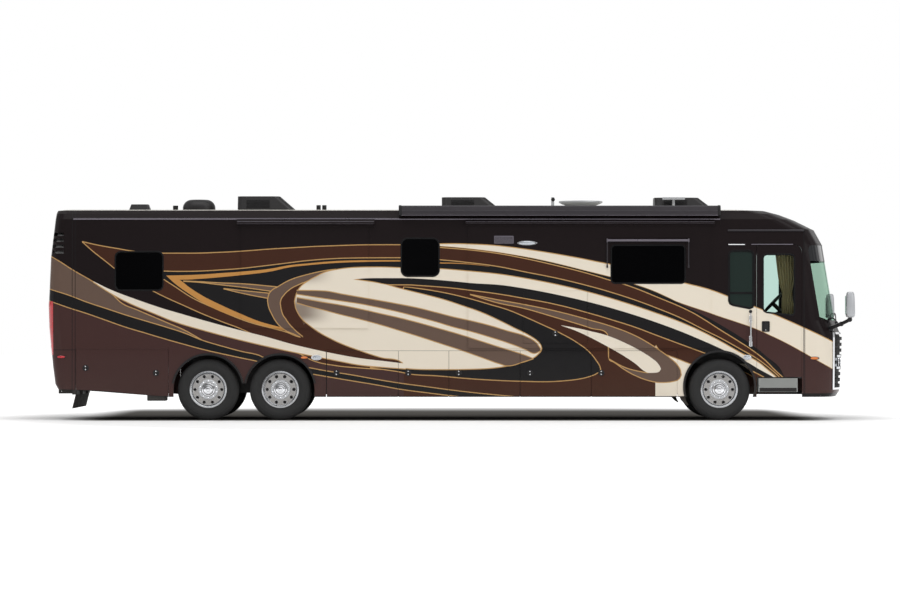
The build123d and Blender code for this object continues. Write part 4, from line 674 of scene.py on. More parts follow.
@dataclass
class PaintScheme:
    """The swoosh paint: every band drawn as curves over the side, under one clear coat.

    The airbrushed shade fades over three ramps of height, and cream is what is brighter than
    a grey. The tail's seam is its start and end in X and its height.
    """

    name: str = "clear_coated_body_paint"
    bands: tuple[Band, ...] = BANDS
    low_z: float = -0.5
    high_z: float = 4.5
    stripe: float = 0.008
    roof_half_y: float = 1.12
    roof_z: float = 3.58
    airbrush_x: Point2 = (-1.90, -2.50)
    airbrush_z: tuple[Point2, ...] = ((2.27, 2.50), (2.16, 1.93), (1.58, 1.80))
    airbrush_share: float = 0.8
    cream_grey: float = 0.5
    nose_foot: Point2 = (5.985, 0.458)
    skirt_line: Outline = ((-6.860, 0.530), (-5.971, 0.505), (-4.701, 0.411), (6.860, 0.411))
    seams: tuple[float, ...] = (-6.413, -6.362, 6.048, 6.066)
    seam_w: float = 0.005
    tail_seam: tuple[float, float, float] = (-6.860, -6.362, 1.198)
    dust_z: Point2 = (1.0, 0.35)
    dust_share: float = 0.05

    def curve(self, tree: Tree, x: Socket, points: Outline) -> Socket:
        """Draws one outline as a height over X.

        Args:
            tree: The material's node tree.
            x: The place along the vehicle.
            points: The outline.

        Returns:
            The height as a share of the scheme's height.
        """
        first, last = points[0][0], points[-1][0]
        share = add_node(tree, "MapRange", {"clamp": True}, {0: x, 1: first, 2: last}).outputs[0]
        made = add_node(tree, "FloatCurve", {}, {1: share})
        curve = made.mapping.curves[0]
        made.mapping.use_clip = False
        rise = self.high_z - self.low_z
        spots = [((px - first) / (last - first), (pz - self.low_z) / rise) for px, pz in points]
        for spot in spots[1:-1]:
            curve.points.new(*spot)
        curve.points[0].location = spots[0]
        curve.points[len(curve.points) - 1].location = spots[-1]
        for point in curve.points:
            point.handle_type = "AUTO_CLAMPED"
        made.mapping.update()
        return made.outputs[0]

    def where_all(self, tree: Tree, tests: Sequence[tuple[object, ...]]) -> Socket:
        """Marks where all of some comparisons hold.

        Args:
            tree: The material's node tree.
            tests: For each, the comparison and what it compares.

        Returns:
            A mask that is one there.
        """
        mask = None
        for operation, *inputs in tests:
            test = add_node(tree, "Math", {"operation": operation}, dict(enumerate(inputs)))
            if mask is None:
                mask = test.outputs[0]
            else:
                mask = add_node(tree, "Math", {"operation": "MULTIPLY"}, {
                    0: mask, 1: test.outputs[0],
                }).outputs[0]
        return mask

    def inside(self, tree: Tree, x: Socket, height: Socket, upper: Outline,
               lower: Outline) -> Socket:
        """Finds what lies between two outlines.

        Args:
            tree: The material's node tree.
            x: The place along the vehicle.
            height: The height as a share of the scheme's height.
            upper: The upper outline.
            lower: The lower outline.

        Returns:
            A mask that is one inside.
        """
        return self.where_all(tree, (
            ("LESS_THAN", height, self.curve(tree, x, upper)),
            ("GREATER_THAN", height, self.curve(tree, x, lower)),
            ("GREATER_THAN", x, max(upper[0][0], lower[0][0])),
            ("LESS_THAN", x, min(upper[-1][0], lower[-1][0])),
        ))

    def material(self) -> bpy.types.Material:
        """Builds the clear-coated body paint, once.

        Base coat and clear lacquer over glass fibre: deep colour with a thin wet gloss on top.

        Returns:
            The material.
        """
        known = bpy.data.materials.get(self.name)
        if known:
            return known
        made, tree = new_material(self.name)
        where = add_node(tree, "TexCoord").outputs["Object"]
        parts = add_node(tree, "SeparateXYZ", {}, {0: where})
        x, y, z = (parts.outputs[name] for name in "XYZ")
        height = add_node(tree, "MapRange", {"clamp": False}, {
            0: z, 1: self.low_z, 2: self.high_z,
        }).outputs[0]
        colour: object = linear(Paint.NIGHT.value)
        for band in self.bands:
            coats = ((band.paint, 0.0),)
            if band.gold:
                coats = ((Paint.PINSTRIPE, self.stripe), (band.paint, -self.stripe))
            for paint, out in coats:
                upper = offset(band.upper, out) if "U" in band.gold else band.upper
                lower = offset(band.lower, -out) if "L" in band.gold else band.lower
                mask = self.inside(tree, x, height, upper, lower)
                colour = self.cover(tree, colour, mask, paint)
            if band.name == "upper_cream":
                colour = self.airbrush(tree, colour, x, z)
        colour = self.cover(tree, colour, self.joints(tree, x, z, height), Paint.JET)
        # The flat of the roof is left in pale gel coat between its dark edges
        flat = self.where_all(tree, (("COMPARE", y, 0.0, self.roof_half_y),
                                     ("GREATER_THAN", z, self.roof_z)))
        colour = self.cover(tree, colour, flat, Paint.GEL_COAT)
        colour = self.cover(tree, colour, self.dust(tree, where, z), Paint.DUST)
        # Flakes of the base coat, drawn at 3 mm because real ones are too fine to show
        flake = add_node(tree, "TexNoise", {}, {"Vector": where, "Scale": 330.0, "Detail": 1.0})
        gloss = add_node(tree, "MapRange", {}, {
            0: flake.outputs["Fac"], 1: 0.3, 2: 0.7, 3: 0.26, 4: 0.36,
        }).outputs[0]
        # The lacquer's orange peel is about 6 mm from crest to crest
        peel = add_node(tree, "TexNoise", {}, {"Vector": where, "Scale": 160.0, "Detail": 1.0})
        skin = add_node(tree, "Bump", {}, {
            "Strength": 0.15, "Distance": 0.05 * MM, "Height": peel.outputs["Fac"],
        })
        shader = add_node(tree, "BsdfPrincipled", {}, {
            "Base Color": colour, "Roughness": gloss, "IOR": 1.5, "Specular IOR Level": 0.05,
            "Coat Weight": 0.10, "Coat Roughness": 0.03, "Coat IOR": 1.45,
            "Normal": skin.outputs["Normal"],
        })
        add_node(tree, "OutputMaterial", {}, {"Surface": shader.outputs["BSDF"]})
        return made

    def cover(self, tree: Tree, under: object, mask: Socket, paint: Paint) -> Socket:
        """Lays one colour over what is painted so far, through a mask."""
        return add_node(tree, "Mix", {"data_type": "RGBA"}, {
            0: mask, 6: under, 7: linear(paint.value),
        }).outputs[2]

    def airbrush(self, tree: Tree, colour: Socket, x: Socket, z: Socket) -> Socket:
        """Shades the cream beside the crescent, as its painter did, fading forward.

        Args:
            tree: The material's node tree.
            colour: What is painted so far.
            x: The place along the vehicle.
            z: The height.

        Returns:
            The shaded colour.
        """
        ramps = ((x, self.airbrush_x), *((z, ramp) for ramp in self.airbrush_z))
        mask, top, foot, above = (
            add_node(tree, "MapRange", {"interpolation_type": "SMOOTHSTEP"}, {
                0: value, 1: start, 2: end,
            }).outputs[0] for value, (start, end) in ramps
        )
        spread = add_node(tree, "Math", {"operation": "MAXIMUM"}, {0: top, 1: foot}).outputs[0]
        # Only the cream takes the shade, told from the darker colours by its brightness
        grey = add_node(tree, "RGBToBW", {}, {0: colour}).outputs[0]
        cream = self.where_all(tree, (("GREATER_THAN", grey, self.cream_grey),))
        for share in (spread, above, self.airbrush_share, cream):
            mask = add_node(tree, "Math", {"operation": "MULTIPLY"}, {0: mask, 1: share}).outputs[0]
        return self.cover(tree, colour, mask, Paint.TAUPE)

    def joints(self, tree: Tree, x: Socket, z: Socket, height: Socket) -> Socket:
        """Marks the sealed joints between the mouldings, the skirt's edge and the nose's foot.

        Args:
            tree: The material's node tree.
            x: The place along the vehicle.
            z: The height.
            height: The height as a share of the scheme's height.

        Returns:
            A mask that is one on the dark lines.
        """
        low_x, high_x, tail_z = self.tail_seam
        lines = [
            [("LESS_THAN", height, self.curve(tree, x, self.skirt_line))],
            [("GREATER_THAN", x, self.nose_foot[0]), ("LESS_THAN", z, self.nose_foot[1])],
            [("COMPARE", z, tail_z, self.seam_w), ("GREATER_THAN", x, low_x),
             ("LESS_THAN", x, high_x)],
            *([("COMPARE", x, seam, self.seam_w)] for seam in self.seams),
        ]
        mask: object = 0.0
        for tests in lines:
            mask = add_node(tree, "Math", {"operation": "MAXIMUM"}, {
                0: mask, 1: self.where_all(tree, tests),
            }).outputs[0]
        return mask

    def dust(self, tree: Tree, where: Socket, z: Socket) -> Socket:
        """Marks a faint film of road dust along the skirts."""
        cloud = add_node(tree, "TexNoise", {}, {"Vector": where, "Scale": 2.0, "Detail": 4.0})
        low = add_node(tree, "MapRange", {"interpolation_type": "SMOOTHSTEP"}, {
            0: z, 1: self.dust_z[0], 2: self.dust_z[1], 3: 0.0, 4: self.dust_share,
        }).outputs[0]
        return add_node(tree, "Math", {"operation": "MULTIPLY"}, {
            0: low, 1: cloud.outputs["Fac"],
        }).outputs[0]


@dataclass(frozen=True)
class Glass:
    """A pane: tint, how much it hides, and its gloss.

    Another skin is the colour ahead of a place in X, where the left side hides least. A frit is
    the dark band above a height.
    """

    name: str
    tint: str
    body: float
    skin: str = "#030304"
    specular: float = 0.06
    other: str = ""
    frit_z: float | None = None
    cab_x: float = 4.6
    driver_body: float = 0.05

    def material(self) -> bpy.types.Material:
        """Builds the pane's material, once: a see-through tint under a glossy skin.

        Returns:
            The material.
        """
        known = bpy.data.materials.get(self.name)
        if known:
            return known
        made, tree = new_material(self.name)
        where = add_node(tree, "TexCoord").outputs["Object"]
        parts = add_node(tree, "SeparateXYZ", {}, {0: where})
        film = add_node(tree, "TexNoise", {}, {"Vector": where, "Scale": 1.5, "Detail": 2.0})
        haze = add_node(tree, "MapRange", {}, {
            0: film.outputs["Fac"], 1: 0.3, 2: 0.7, 3: self.body, 4: min(1.0, self.body * 1.06),
        }).outputs[0]
        colour: object = linear(self.skin)
        if self.other:
            haze, colour = self.ahead(tree, parts, haze)
        if self.frit_z is not None:
            band = add_node(tree, "Math", {"operation": "GREATER_THAN"}, {
                0: parts.outputs["Z"], 1: self.frit_z,
            }).outputs[0]
            haze = add_node(tree, "Math", {"operation": "MAXIMUM"}, {0: haze, 1: band}).outputs[0]
        clear = add_node(tree, "BsdfTransparent", {}, {0: linear(self.tint)}).outputs[0]
        skin = add_node(tree, "BsdfPrincipled", {}, {
            "Base Color": colour, "Roughness": 0.03, "IOR": 1.5,
            "Specular IOR Level": self.specular,
        }).outputs["BSDF"]
        mixed = add_node(tree, "MixShader", {}, {0: haze, 1: clear, 2: skin}).outputs[0]
        add_node(tree, "OutputMaterial", {}, {"Surface": mixed})
        return made

    def ahead(self, tree: Tree, parts: bpy.types.Node, haze: Socket) -> tuple[Socket, Socket]:
        """Leaves the driver's pane clear and the tall pane beside the cab grey.

        Args:
            tree: The material's node tree.
            parts: The node that splits up the place on the object.
            haze: How much the glass hides elsewhere.

        Returns:
            How much it hides, and the colour that hides it.
        """
        cab, left = (
            add_node(tree, "Math", {"operation": "GREATER_THAN"}, {
                0: parts.outputs[axis], 1: place,
            }).outputs[0] for axis, place in (("X", self.cab_x), ("Y", 0.0))
        )
        driver = add_node(tree, "Math", {"operation": "MULTIPLY"}, {0: cab, 1: left}).outputs[0]
        hides = add_node(tree, "MapRange", {}, {
            0: driver, 3: haze, 4: self.driver_body,
        }).outputs[0]
        colour = add_node(tree, "Mix", {"data_type": "RGBA"}, {
            0: cab, 6: linear(self.skin), 7: linear(self.other),
        }).outputs[2]
        return hides, colour


class Pane:
    """The panes of the vehicle."""

    # Laminated safety glass with a green tint: clear, the far window shows through it
    CLEAR = Glass("green_tinted_laminated_glass", "#f1faf7", 0.03, specular=0.3)
    # The windscreen's deeper green laminate
    SCREEN = Glass("windscreen_laminated_glass", "#e5f0ea", 0.06, "#0d1014", 0.3, frit_z=2.715)
    # The slide-outs' panes, dark from outside
    SLIDE = Glass("slide_privacy_glass", "#dfefe9", 0.985)
    # Privacy glass, nearly black from outside, but clear or grey ahead of the rooms
    PRIVACY = Glass("privacy_glass", "#f1faf7", 0.985, other="#26302d")


@dataclass
class Studio:
    """The camera, the lamps and the pale floor.

    Light pairs are what falls on the vehicle and what the camera sees of the white, and the
    darkest and brightest wall that metal mirrors. The floor glows with its distance between two
    radii. Each ramp of the shadow painted on the floor under the vehicle is an axis, its two ends
    and what it starts from.
    """

    eye: Point3 = (0.023, -57.28, 1.488)
    aim: Point3 = (0.023, -SIDE_Y, 2.048)
    lens: float = 131.5
    sensor: float = 36.0
    far_clip: float = 600.0
    floor_r: float = 160.0
    white_light: Point2 = (0.62, 1.0)
    wall_light: Point2 = (0.22, 1.05)
    glow_r: Point2 = (6.7, 9.5)
    glow: float = 0.6
    glow_in_painted_shadow: float = 0.12
    # Ramps along X and Y of the shadow painted on the floor under the vehicle
    shade: tuple[tuple[str, float, float, float], ...] = (
        ("X", -6.7, -5.8, 0.0), ("X", 5.9, 6.75, 1.0), ("Y", -2.0, -1.0, 0.0),
        ("Y", 4.6, 9.0, 1.0),
    )

    def build(self) -> None:
        """Makes the camera, lamps, world and floor."""
        scene = bpy.context.scene
        camera = bpy.data.objects.new("camera", bpy.data.cameras.new("camera"))
        scene.collection.objects.link(camera)
        camera.data.lens = self.lens
        camera.data.sensor_width = self.sensor
        camera.data.clip_end = self.far_clip
        camera.location = self.eye
        look = Vector(self.aim) - Vector(self.eye)
        camera.rotation_euler = look.to_track_quat("-Z", "Y").to_euler()
        scene.camera = camera
        scene.view_settings.view_transform = "Standard"
        self.lamp("roof_light", (0.0, -4.0, 14.0), (0.0, 0.0, 1.5), (26.0, 10.0), 1500.0)
        self.lamp("front_light", (16.0, -12.0, 9.0), (3.0, 0.0, 1.5), (9.0, 9.0), 500.0)
        self.world()
        self.floor()

    def lamp(self, name: str, place: Point3, aim: Point3, size: Point2, watts: float) -> None:
        """Hangs one soft rectangular lamp.

        Args:
            name: The lamp's name.
            place: Where it hangs.
            aim: Where it points.
            size: Its width and height.
            watts: Its power.
        """
        data = bpy.data.lights.new(name, "AREA")
        data.shape = "RECTANGLE"
        data.size, data.size_y = size
        data.energy = watts
        lamp = bpy.data.objects.new(name, data)
        bpy.context.scene.collection.objects.link(lamp)
        lamp.location = place
        lamp.rotation_euler = (Vector(aim) - Vector(place)).to_track_quat("-Z", "Y").to_euler()

    def white_to_view(self, tree: Tree) -> Socket:
        """Marks rays from the camera, through glass and off metal.

        Args:
            tree: The node tree of the world or the floor.

        Returns:
            One for those rays, zero for the others.
        """
        path = add_node(tree, "LightPath")
        seen = path.outputs["Is Camera Ray"]
        for name in ("Is Glossy Ray", "Is Transmission Ray"):
            seen = add_node(tree, "Math", {"operation": "MAXIMUM"}, {
                0: seen, 1: path.outputs[name],
            }).outputs[0]
        return seen

    def world(self) -> None:
        """Makes the white studio around the vehicle."""
        world = bpy.data.worlds.new("studio")
        bpy.context.scene.world = world
        world.use_nodes = True
        tree = world.node_tree
        tree.nodes.clear()
        strength = add_node(tree, "MapRange", {}, {
            0: self.white_to_view(tree), 3: self.white_light[0], 4: self.white_light[1],
        }).outputs[0]
        # Polished metal mirrors a studio with darker and brighter walls, never an even white
        where = add_node(tree, "TexCoord").outputs["Generated"]
        walls = add_node(tree, "TexNoise", {}, {"Vector": where, "Scale": 2.6, "Detail": 2.0})
        mirrored = add_node(tree, "MapRange", {}, {
            0: walls.outputs["Fac"], 1: 0.40, 2: 0.60, 3: self.wall_light[0], 4: self.wall_light[1],
        }).outputs[0]
        glossy = add_node(tree, "LightPath").outputs["Is Glossy Ray"]
        strength = add_node(tree, "Mix", {"data_type": "FLOAT"}, {
            0: glossy, 2: strength, 3: mirrored,
        }).outputs[0]
        light = add_node(tree, "Background", {}, {0: linear("#ffffff"), 1: strength})
        add_node(tree, "OutputWorld", {}, {"Surface": light.outputs[0]})

    def floor(self) -> None:
        """Lays the pale floor, which keeps the vehicle's shadow, with a shadow painted under it
        too.
        """
        mesh = bpy.data.meshes.new("floor")
        sheet = bmesh.new()
        bmesh.ops.create_circle(sheet, cap_ends=True, segments=96, radius=self.floor_r)
        sheet.to_mesh(mesh)
        sheet.free()
        floor = bpy.data.objects.new("floor", mesh)
        bpy.context.scene.collection.objects.link(floor)
        material, tree = new_material("pale_studio_floor")
        where = add_node(tree, "TexCoord").outputs["Object"]
        far = add_node(tree, "VectorMath", {"operation": "LENGTH"}, {0: where}).outputs["Value"]
        spread = add_node(tree, "MapRange", {"interpolation_type": "SMOOTHSTEP"}, {
            0: far, 1: self.glow_r[0], 2: self.glow_r[1], 3: 0.0, 4: self.glow,
        }).outputs[0]
        # Painted shadow: the ground is darker under the vehicle and glows less there, like its
        # shadow in the photo
        parts = add_node(tree, "SeparateXYZ", {}, {0: where})
        dark: object = 1.0
        for axis, low, high, start in self.shade:
            ramp = add_node(tree, "MapRange", {"interpolation_type": "SMOOTHSTEP"}, {
                0: parts.outputs[axis], 1: low, 2: high, 3: start, 4: 1.0 - start,
            }).outputs[0]
            dark = add_node(tree, "Math", {"operation": "MULTIPLY"}, {0: dark, 1: ramp}).outputs[0]
        shade = add_node(tree, "MapRange", {}, {0: dark, 3: 1.0, 4: self.glow_in_painted_shadow}).outputs[0]
        lift = self.white_to_view(tree)
        for share in (spread, shade):
            lift = add_node(tree, "Math", {"operation": "MULTIPLY"}, {0: lift, 1: share}).outputs[0]
        # Painted shadow: the floor's colour goes from pale to dark grey under the vehicle
        ground = add_node(tree, "Mix", {"data_type": "RGBA"}, {
            0: dark, 6: linear("#f4f4f4"), 7: linear("#5c5a57"),
        }).outputs[2]
        plain = add_node(tree, "BsdfDiffuse", {}, {0: ground}).outputs[0]
        glow = add_node(tree, "Emission", {}, {0: linear("#ffffff"), 1: lift}).outputs[0]
        both = add_node(tree, "AddShader", {}, {0: plain, 1: glow}).outputs[0]
        add_node(tree, "OutputMaterial", {}, {"Surface": both})
        mesh.materials.append(material)


def rounded(low: Point2, high: Point2, radius: float, steps: int = 5) -> list[Point2]:
    """Draws a rectangle with rounded corners in X and Z.

    Args:
        low: Its lowest corner.
        high: Its highest corner.
        radius: The corners' radius.
        steps: How many straight runs make a corner.

    Returns:
        The outline, anticlockwise.
    """
    corners = (
        (high[0] - radius, low[1] + radius, -90), (high[0] - radius, high[1] - radius, 0),
        (low[0] + radius, high[1] - radius, 90), (low[0] + radius, low[1] + radius, 180),
    )
    return [
        (x + radius * math.cos(math.radians(start + 90 * i / steps)),
         z + radius * math.sin(math.radians(start + 90 * i / steps)))
        for x, z, start in corners for i in range(steps + 1)
    ]


def grown(outline: Sequence[Point2], by: float) -> list[Point2]:
    """Grows a closed outline outwards by a distance, or inwards where it is negative."""
    count = len(outline)
    out = []
    for i, (x, z) in enumerate(outline):
        before, after = Vector(outline[i - 1]), Vector(outline[(i + 1) % count])
        along = (after - before).normalized()
        out.append((x + along.y * by, z - along.x * by))
    return out


def circle(sides: int) -> list[Point2]:
    """Gives the cosine and sine of each step round a circle."""
    turns = [2 * math.pi * k / sides for k in range(sides)]
    return [(math.cos(turn), math.sin(turn)) for turn in turns]


def squared(half_a: float, half_b: float, power: float, sides: int) -> list[Point2]:
    """Draws an oval round the origin with its sides squared off.

    Args:
        half_a: Half its first size.
        half_b: Half its second size.
        power: One for a plain oval, less for squarer sides.
        sides: How many points go round.

    Returns:
        The outline.
    """
    return [
        (half_a * math.copysign(abs(c) ** power, c), half_b * math.copysign(abs(s) ** power, s))
        for c, s in circle(sides)
    ]


class Mesh:
    """Gathers faces into one mesh, which becomes one piece of the vehicle."""

    def __init__(self, name: str) -> None:
        """Starts an empty mesh."""
        self.name = name
        self.bm = bmesh.new()

    def loft(self, rows: Sequence[Sequence[Point3]], closed: bool = True, caps: bool = True,
             around: bool = False) -> "Mesh":
        """Skins rows of points.

        Args:
            rows: Rows with the same number of points.
            closed: Whether each row joins up with itself.
            caps: Whether the first and last rows are filled.
            around: Whether the last row joins the first.

        Returns:
            This mesh.
        """
        made = [[self.bm.verts.new(p) for p in row] for row in rows]
        count = len(made[0])
        pairs = list(zip(made, made[1:])) + ([(made[-1], made[0])] if around else [])
        for a, b in pairs:
            for i in range(count if closed else count - 1):
                j = (i + 1) % count
                self.bm.faces.new((a[i], a[j], b[j], b[i]))
        if caps and closed and not around:
            self.bm.faces.new(list(reversed(made[0])))
            self.bm.faces.new(made[-1])
        return self

    def box(self, low: Point3, high: Point3) -> "Mesh":
        """Adds a block between two corners."""
        (x0, y0, z0), (x1, y1, z1) = low, high
        return self.loft([[(x0, y0, z), (x1, y0, z), (x1, y1, z), (x0, y1, z)] for z in (z0, z1)])

    def prism(self, outline: Sequence[Point2], y0: float, y1: float) -> "Mesh":
        """Adds an outline in X and Z, from one Y to another."""
        return self.loft([[(x, y, z) for x, z in outline] for y in (y0, y1)])

    def frame(self, outer: Sequence[Point2], inner: Sequence[Point2], y0: float,
              y1: float) -> "Mesh":
        """Adds a flat frame between two outlines, from one Y to another."""
        rows = [
            [(x, y, z) for x, z in outline]
            for outline, y in ((outer, y0), (outer, y1), (inner, y1), (inner, y0))
        ]
        return self.loft(rows, caps=False, around=True)

    def layers(self, outline: Sequence[Point2], steps: Sequence[Point2]) -> "Mesh":
        """Adds an outline in X and Z in layers, each at its Y and grown by its distance."""
        return self.loft([[(x, y, z) for x, z in grown(outline, by)] for y, by in steps])

    def along(self, section: Sequence[Point2], places: Sequence[float]) -> "Mesh":
        """Adds a section in Y and Z, run through places along the vehicle."""
        return self.loft([[(x, y, z) for y, z in section] for x in places])

    def tube(self, path: Sequence[Point3], radius: float, sides: int = 10) -> "Mesh":
        """Adds a round bar along a path."""
        rows = []
        for i, point in enumerate(path):
            before, after = Vector(path[max(i - 1, 0)]), Vector(path[min(i + 1, len(path) - 1)])
            ahead = (after - before).normalized()
            side = ahead.cross(Vector((0, 0, 1)) if abs(ahead.z) < 0.9 else Vector((0, 1, 0)))
            side.normalize()
            up = ahead.cross(side)
            rows.append([tuple(Vector(point) + radius * (c * side + s * up))
                         for c, s in circle(sides)])
        return self.loft(rows)

    def turned(self, profile: Sequence[Point2], centre: Point3, flats: int, side: int = 1,
               around: bool = False, wave: Callable[[int, int], float] | None = None) -> "Mesh":
        """Turns a profile about an axle across the vehicle.

        Args:
            profile: Places along Y from the centre, counted outwards, and radii.
            centre: The middle of the axle.
            flats: How many go round.
            side: The vehicle's side.
            around: Whether the profile closes on itself.
            wave: What to add to the radius, from the profile's point and the flat.

        Returns:
            This mesh.
        """
        rows = []
        for place, (out, radius) in enumerate(profile):
            row = []
            for k, (c, s) in enumerate(circle(flats)):
                r = radius + (wave(place, k) if wave else 0.0)
                row.append((centre[0] + r * c, centre[1] + side * out, centre[2] + r * s))
            rows.append(row)
        return self.loft(rows, caps=not around, around=around)

    def faced(self, profile: Sequence[Point2], centre: Point3, sides: int) -> "Mesh":
        """Turns a profile, of places in X and radii, about a line along the vehicle."""
        x, y, z = centre
        return self.loft([[(x + out, y + r * c, z + r * s) for c, s in circle(sides)]
                          for out, r in profile])

    def done(self, finish: "Finish | PaintScheme | Glass", body: str,
             bevel: float = 0.0, smooth: float = 35.0) -> bpy.types.Object:
        """Turns what is gathered into a piece that rides on a body.

        Args:
            finish: What it is finished in.
            body: The body that it rides on.
            bevel: How wide its edges are rounded.
            smooth: Edges flatter than this many degrees are shaded smooth.

        Returns:
            The piece.
        """
        bmesh.ops.remove_doubles(self.bm, verts=self.bm.verts, dist=1e-6)
        bmesh.ops.recalc_face_normals(self.bm, faces=self.bm.faces)
        mesh = bpy.data.meshes.new(self.name)
        self.bm.to_mesh(mesh)
        self.bm.free()
        mesh.materials.append(finish.material())
        for face in mesh.polygons:
            face.use_smooth = True
        mesh.set_sharp_from_angle(angle=math.radians(smooth))
        piece = bpy.data.objects.new(self.name, mesh)
        bpy.context.scene.collection.objects.link(piece)
        if bevel:
            rounding = piece.modifiers.new("rounding", "BEVEL")
            rounding.width = bevel
            rounding.segments = 2
            rounding.limit_method = "ANGLE"
        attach(piece, body)
        LOG.info("made %s", self.name)
        return piece


@dataclass
class Wheels:
    """Tyres with road tread, and the dress of the polished wheels.

    The shoulder's notches are cut in a run of the profile's points, at every so many flats.
    """

    axles: tuple[tuple[str, float, float], ...] = (
        ("front", 4.615, -1.179), ("drive", -2.872, -1.081), ("tag", -4.100, -1.179),
    )
    axle_z: float = 0.522
    tyre_y: float = 1.086
    twin_pitch: float = 0.343
    tread_r: float = 0.522
    groove_depth: float = 0.011
    flats: int = 132
    nuts: int = 10
    nut_ring_r: float = 0.1429
    nut_r: float = 0.019
    hole_ring_r: float = 0.228
    lip_y: float = 1.201
    notched: tuple[int, int] = (17, 20)
    notch_pitch: int = 4
    notch_depth: float = 0.006

    def tyre_profile(self) -> list[Point2]:
        """Draws half a tyre from the bead over the shoulder, then its mirror image."""
        side = [
            (0.106, 0.3005), (0.108, 0.318), (0.113, 0.3225), (0.117, 0.331), (0.1215, 0.336),
            (0.1225, 0.345), (0.133, 0.362), (0.142, 0.381), (0.1475, 0.402), (0.1485, 0.422),
            (0.1475, 0.440), (0.1485, 0.4435), (0.1465, 0.447), (0.1445, 0.462), (0.1415, 0.4775),
            (0.1385, 0.484), (0.1335, 0.4935), (0.1265, 0.5045), (0.119, 0.512), (0.108, 0.5175),
        ]
        tread = [(0.098, self.tread_r - 0.001)]
        for middle in (0.066, 0.024):
            tread += [
                (middle + 0.006, self.tread_r), (middle + 0.004, self.tread_r - self.groove_depth),
                (middle - 0.004, self.tread_r - self.groove_depth), (middle - 0.006, self.tread_r),
            ]
        half = side + tread
        return half + [(-y, r) for y, r in reversed(half)]

    def tread_wave(self, place: int, flat: int) -> float:
        """Cuts the shoulder's cross notches."""
        at = min(place, len(self.tyre_profile()) - 1 - place)
        cut = self.notched[0] <= at <= self.notched[1] and flat % self.notch_pitch == 0
        return -self.notch_depth if cut else 0.0

    def build(self) -> None:
        """Makes the tyres and wheel dress for all six wheels."""
        for name, x, face_y in self.axles:
            for word, side in SIDES:
                body = f"wheel_{name}_{word}"
                rows = [self.tyre_y] + ([self.tyre_y - self.twin_pitch] if name == "drive" else [])
                tyre = Mesh(f"tyre_tread_{name}_{word}")
                for y in rows:
                    tyre.turned(self.tyre_profile(), (x, side * y, self.axle_z), self.flats,
                                around=True, wave=self.tread_wave)
                made = tyre.done(Plastic.TYRE, body, smooth=30.0)
                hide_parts(f"tyre_{name}_{word}")
                self.dress(name, word, body, x, side, -face_y)

    def dress(self, name: str, word: str, body: str, x: float, side: int, face: float) -> None:
        """Adds the cove, nuts, cap and hand-hole rims of one wheel, with painted shade in its hand
        holes.

        Args:
            name: The axle's name.
            word: The side's name.
            body: The body that turns.
            x: The axle's place.
            side: Which side it is on.
            face: How far out the disc's face lies.
        """
        centre = (x, side * face, self.axle_z)
        rim_out = self.lip_y - face
        cove = [
            (-0.002, 0.276), (0.004, 0.276), (0.010, 0.2805), (rim_out * 0.8, 0.2835),
            (rim_out, 0.2875), (rim_out, 0.3155), (rim_out + 0.003, 0.3155),
            (rim_out + 0.005, 0.310), (rim_out + 0.005, 0.290), (rim_out * 0.8 + 0.002, 0.281),
            (0.014, 0.277), (0.009, 0.270), (0.004, 0.2665), (-0.002, 0.2655),
        ]
        seat = [(-0.001, 0.116), (0.007, 0.116), (0.010, 0.119), (0.010, 0.166), (0.007, 0.170),
                (-0.001, 0.170)]
        dress = Mesh(f"rim_cove_{name}_{word}")
        dress.turned(cove, centre, 72, side, around=True)
        dress.turned(seat, centre, 60, side, around=True)
        dress.done(Metal.POLISHED, body)
        dome = [
            (0.028, 0.1115), (0.036, 0.1115), (0.039, 0.108), (0.040, 0.092), (0.047, 0.0855),
            (0.0525, 0.080), (0.0545, 0.070), (0.0545, 0.040), (0.0565, 0.037), (0.0575, 0.030),
            (0.0575, 0.004),
        ]
        nut = [(0.0, self.nut_r * 1.2), (0.004, self.nut_r * 1.2), (0.005, self.nut_r),
               (0.024, self.nut_r), (0.030, self.nut_r * 0.8), (0.034, self.nut_r * 0.45)]
        cap = Mesh(f"hub_cap_{name}_{word}")
        cap.turned(dome, centre, 48, side)
        for k in range(self.nuts):
            angle = 2 * math.pi * (k + 0.5) / self.nuts
            spot = (x + self.nut_ring_r * math.cos(angle), side * (face + 0.010),
                    self.axle_z + self.nut_ring_r * math.sin(angle))
            cap.turned(nut, spot, 6, side)
        cap.done(Metal.CHROME, body, smooth=25.0)
        rim = [(-0.002, 0.0280), (0.0040, 0.0280), (0.0052, 0.0295), (0.0040, 0.0312),
               (-0.002, 0.0316)]
        # Satin black cups line the hand holes' walls behind the face: painted shade in the recesses
        shade_cup = [(-0.012, 0.0182), (0.0010, 0.0182), (0.0024, 0.0225), (0.0036, 0.0276),
               (0.0020, 0.0284), (-0.002, 0.0284), (-0.002, 0.0188), (-0.012, 0.0188)]
        for kind, profile, finish, smooth in (
                ("rims", rim, Metal.POLISHED, 35.0), ("cups", shade_cup, Metal.CHASSIS, 40.0)):
            holes = Mesh(f"hand_hole_{kind}_{name}_{word}")
            for c, s in circle(self.nuts):
                spot = (x + self.hole_ring_r * c, side * face, self.axle_z + self.hole_ring_r * s)
                holes.turned(profile, spot, 20, side, around=True)
            holes.done(finish, body, smooth=smooth)


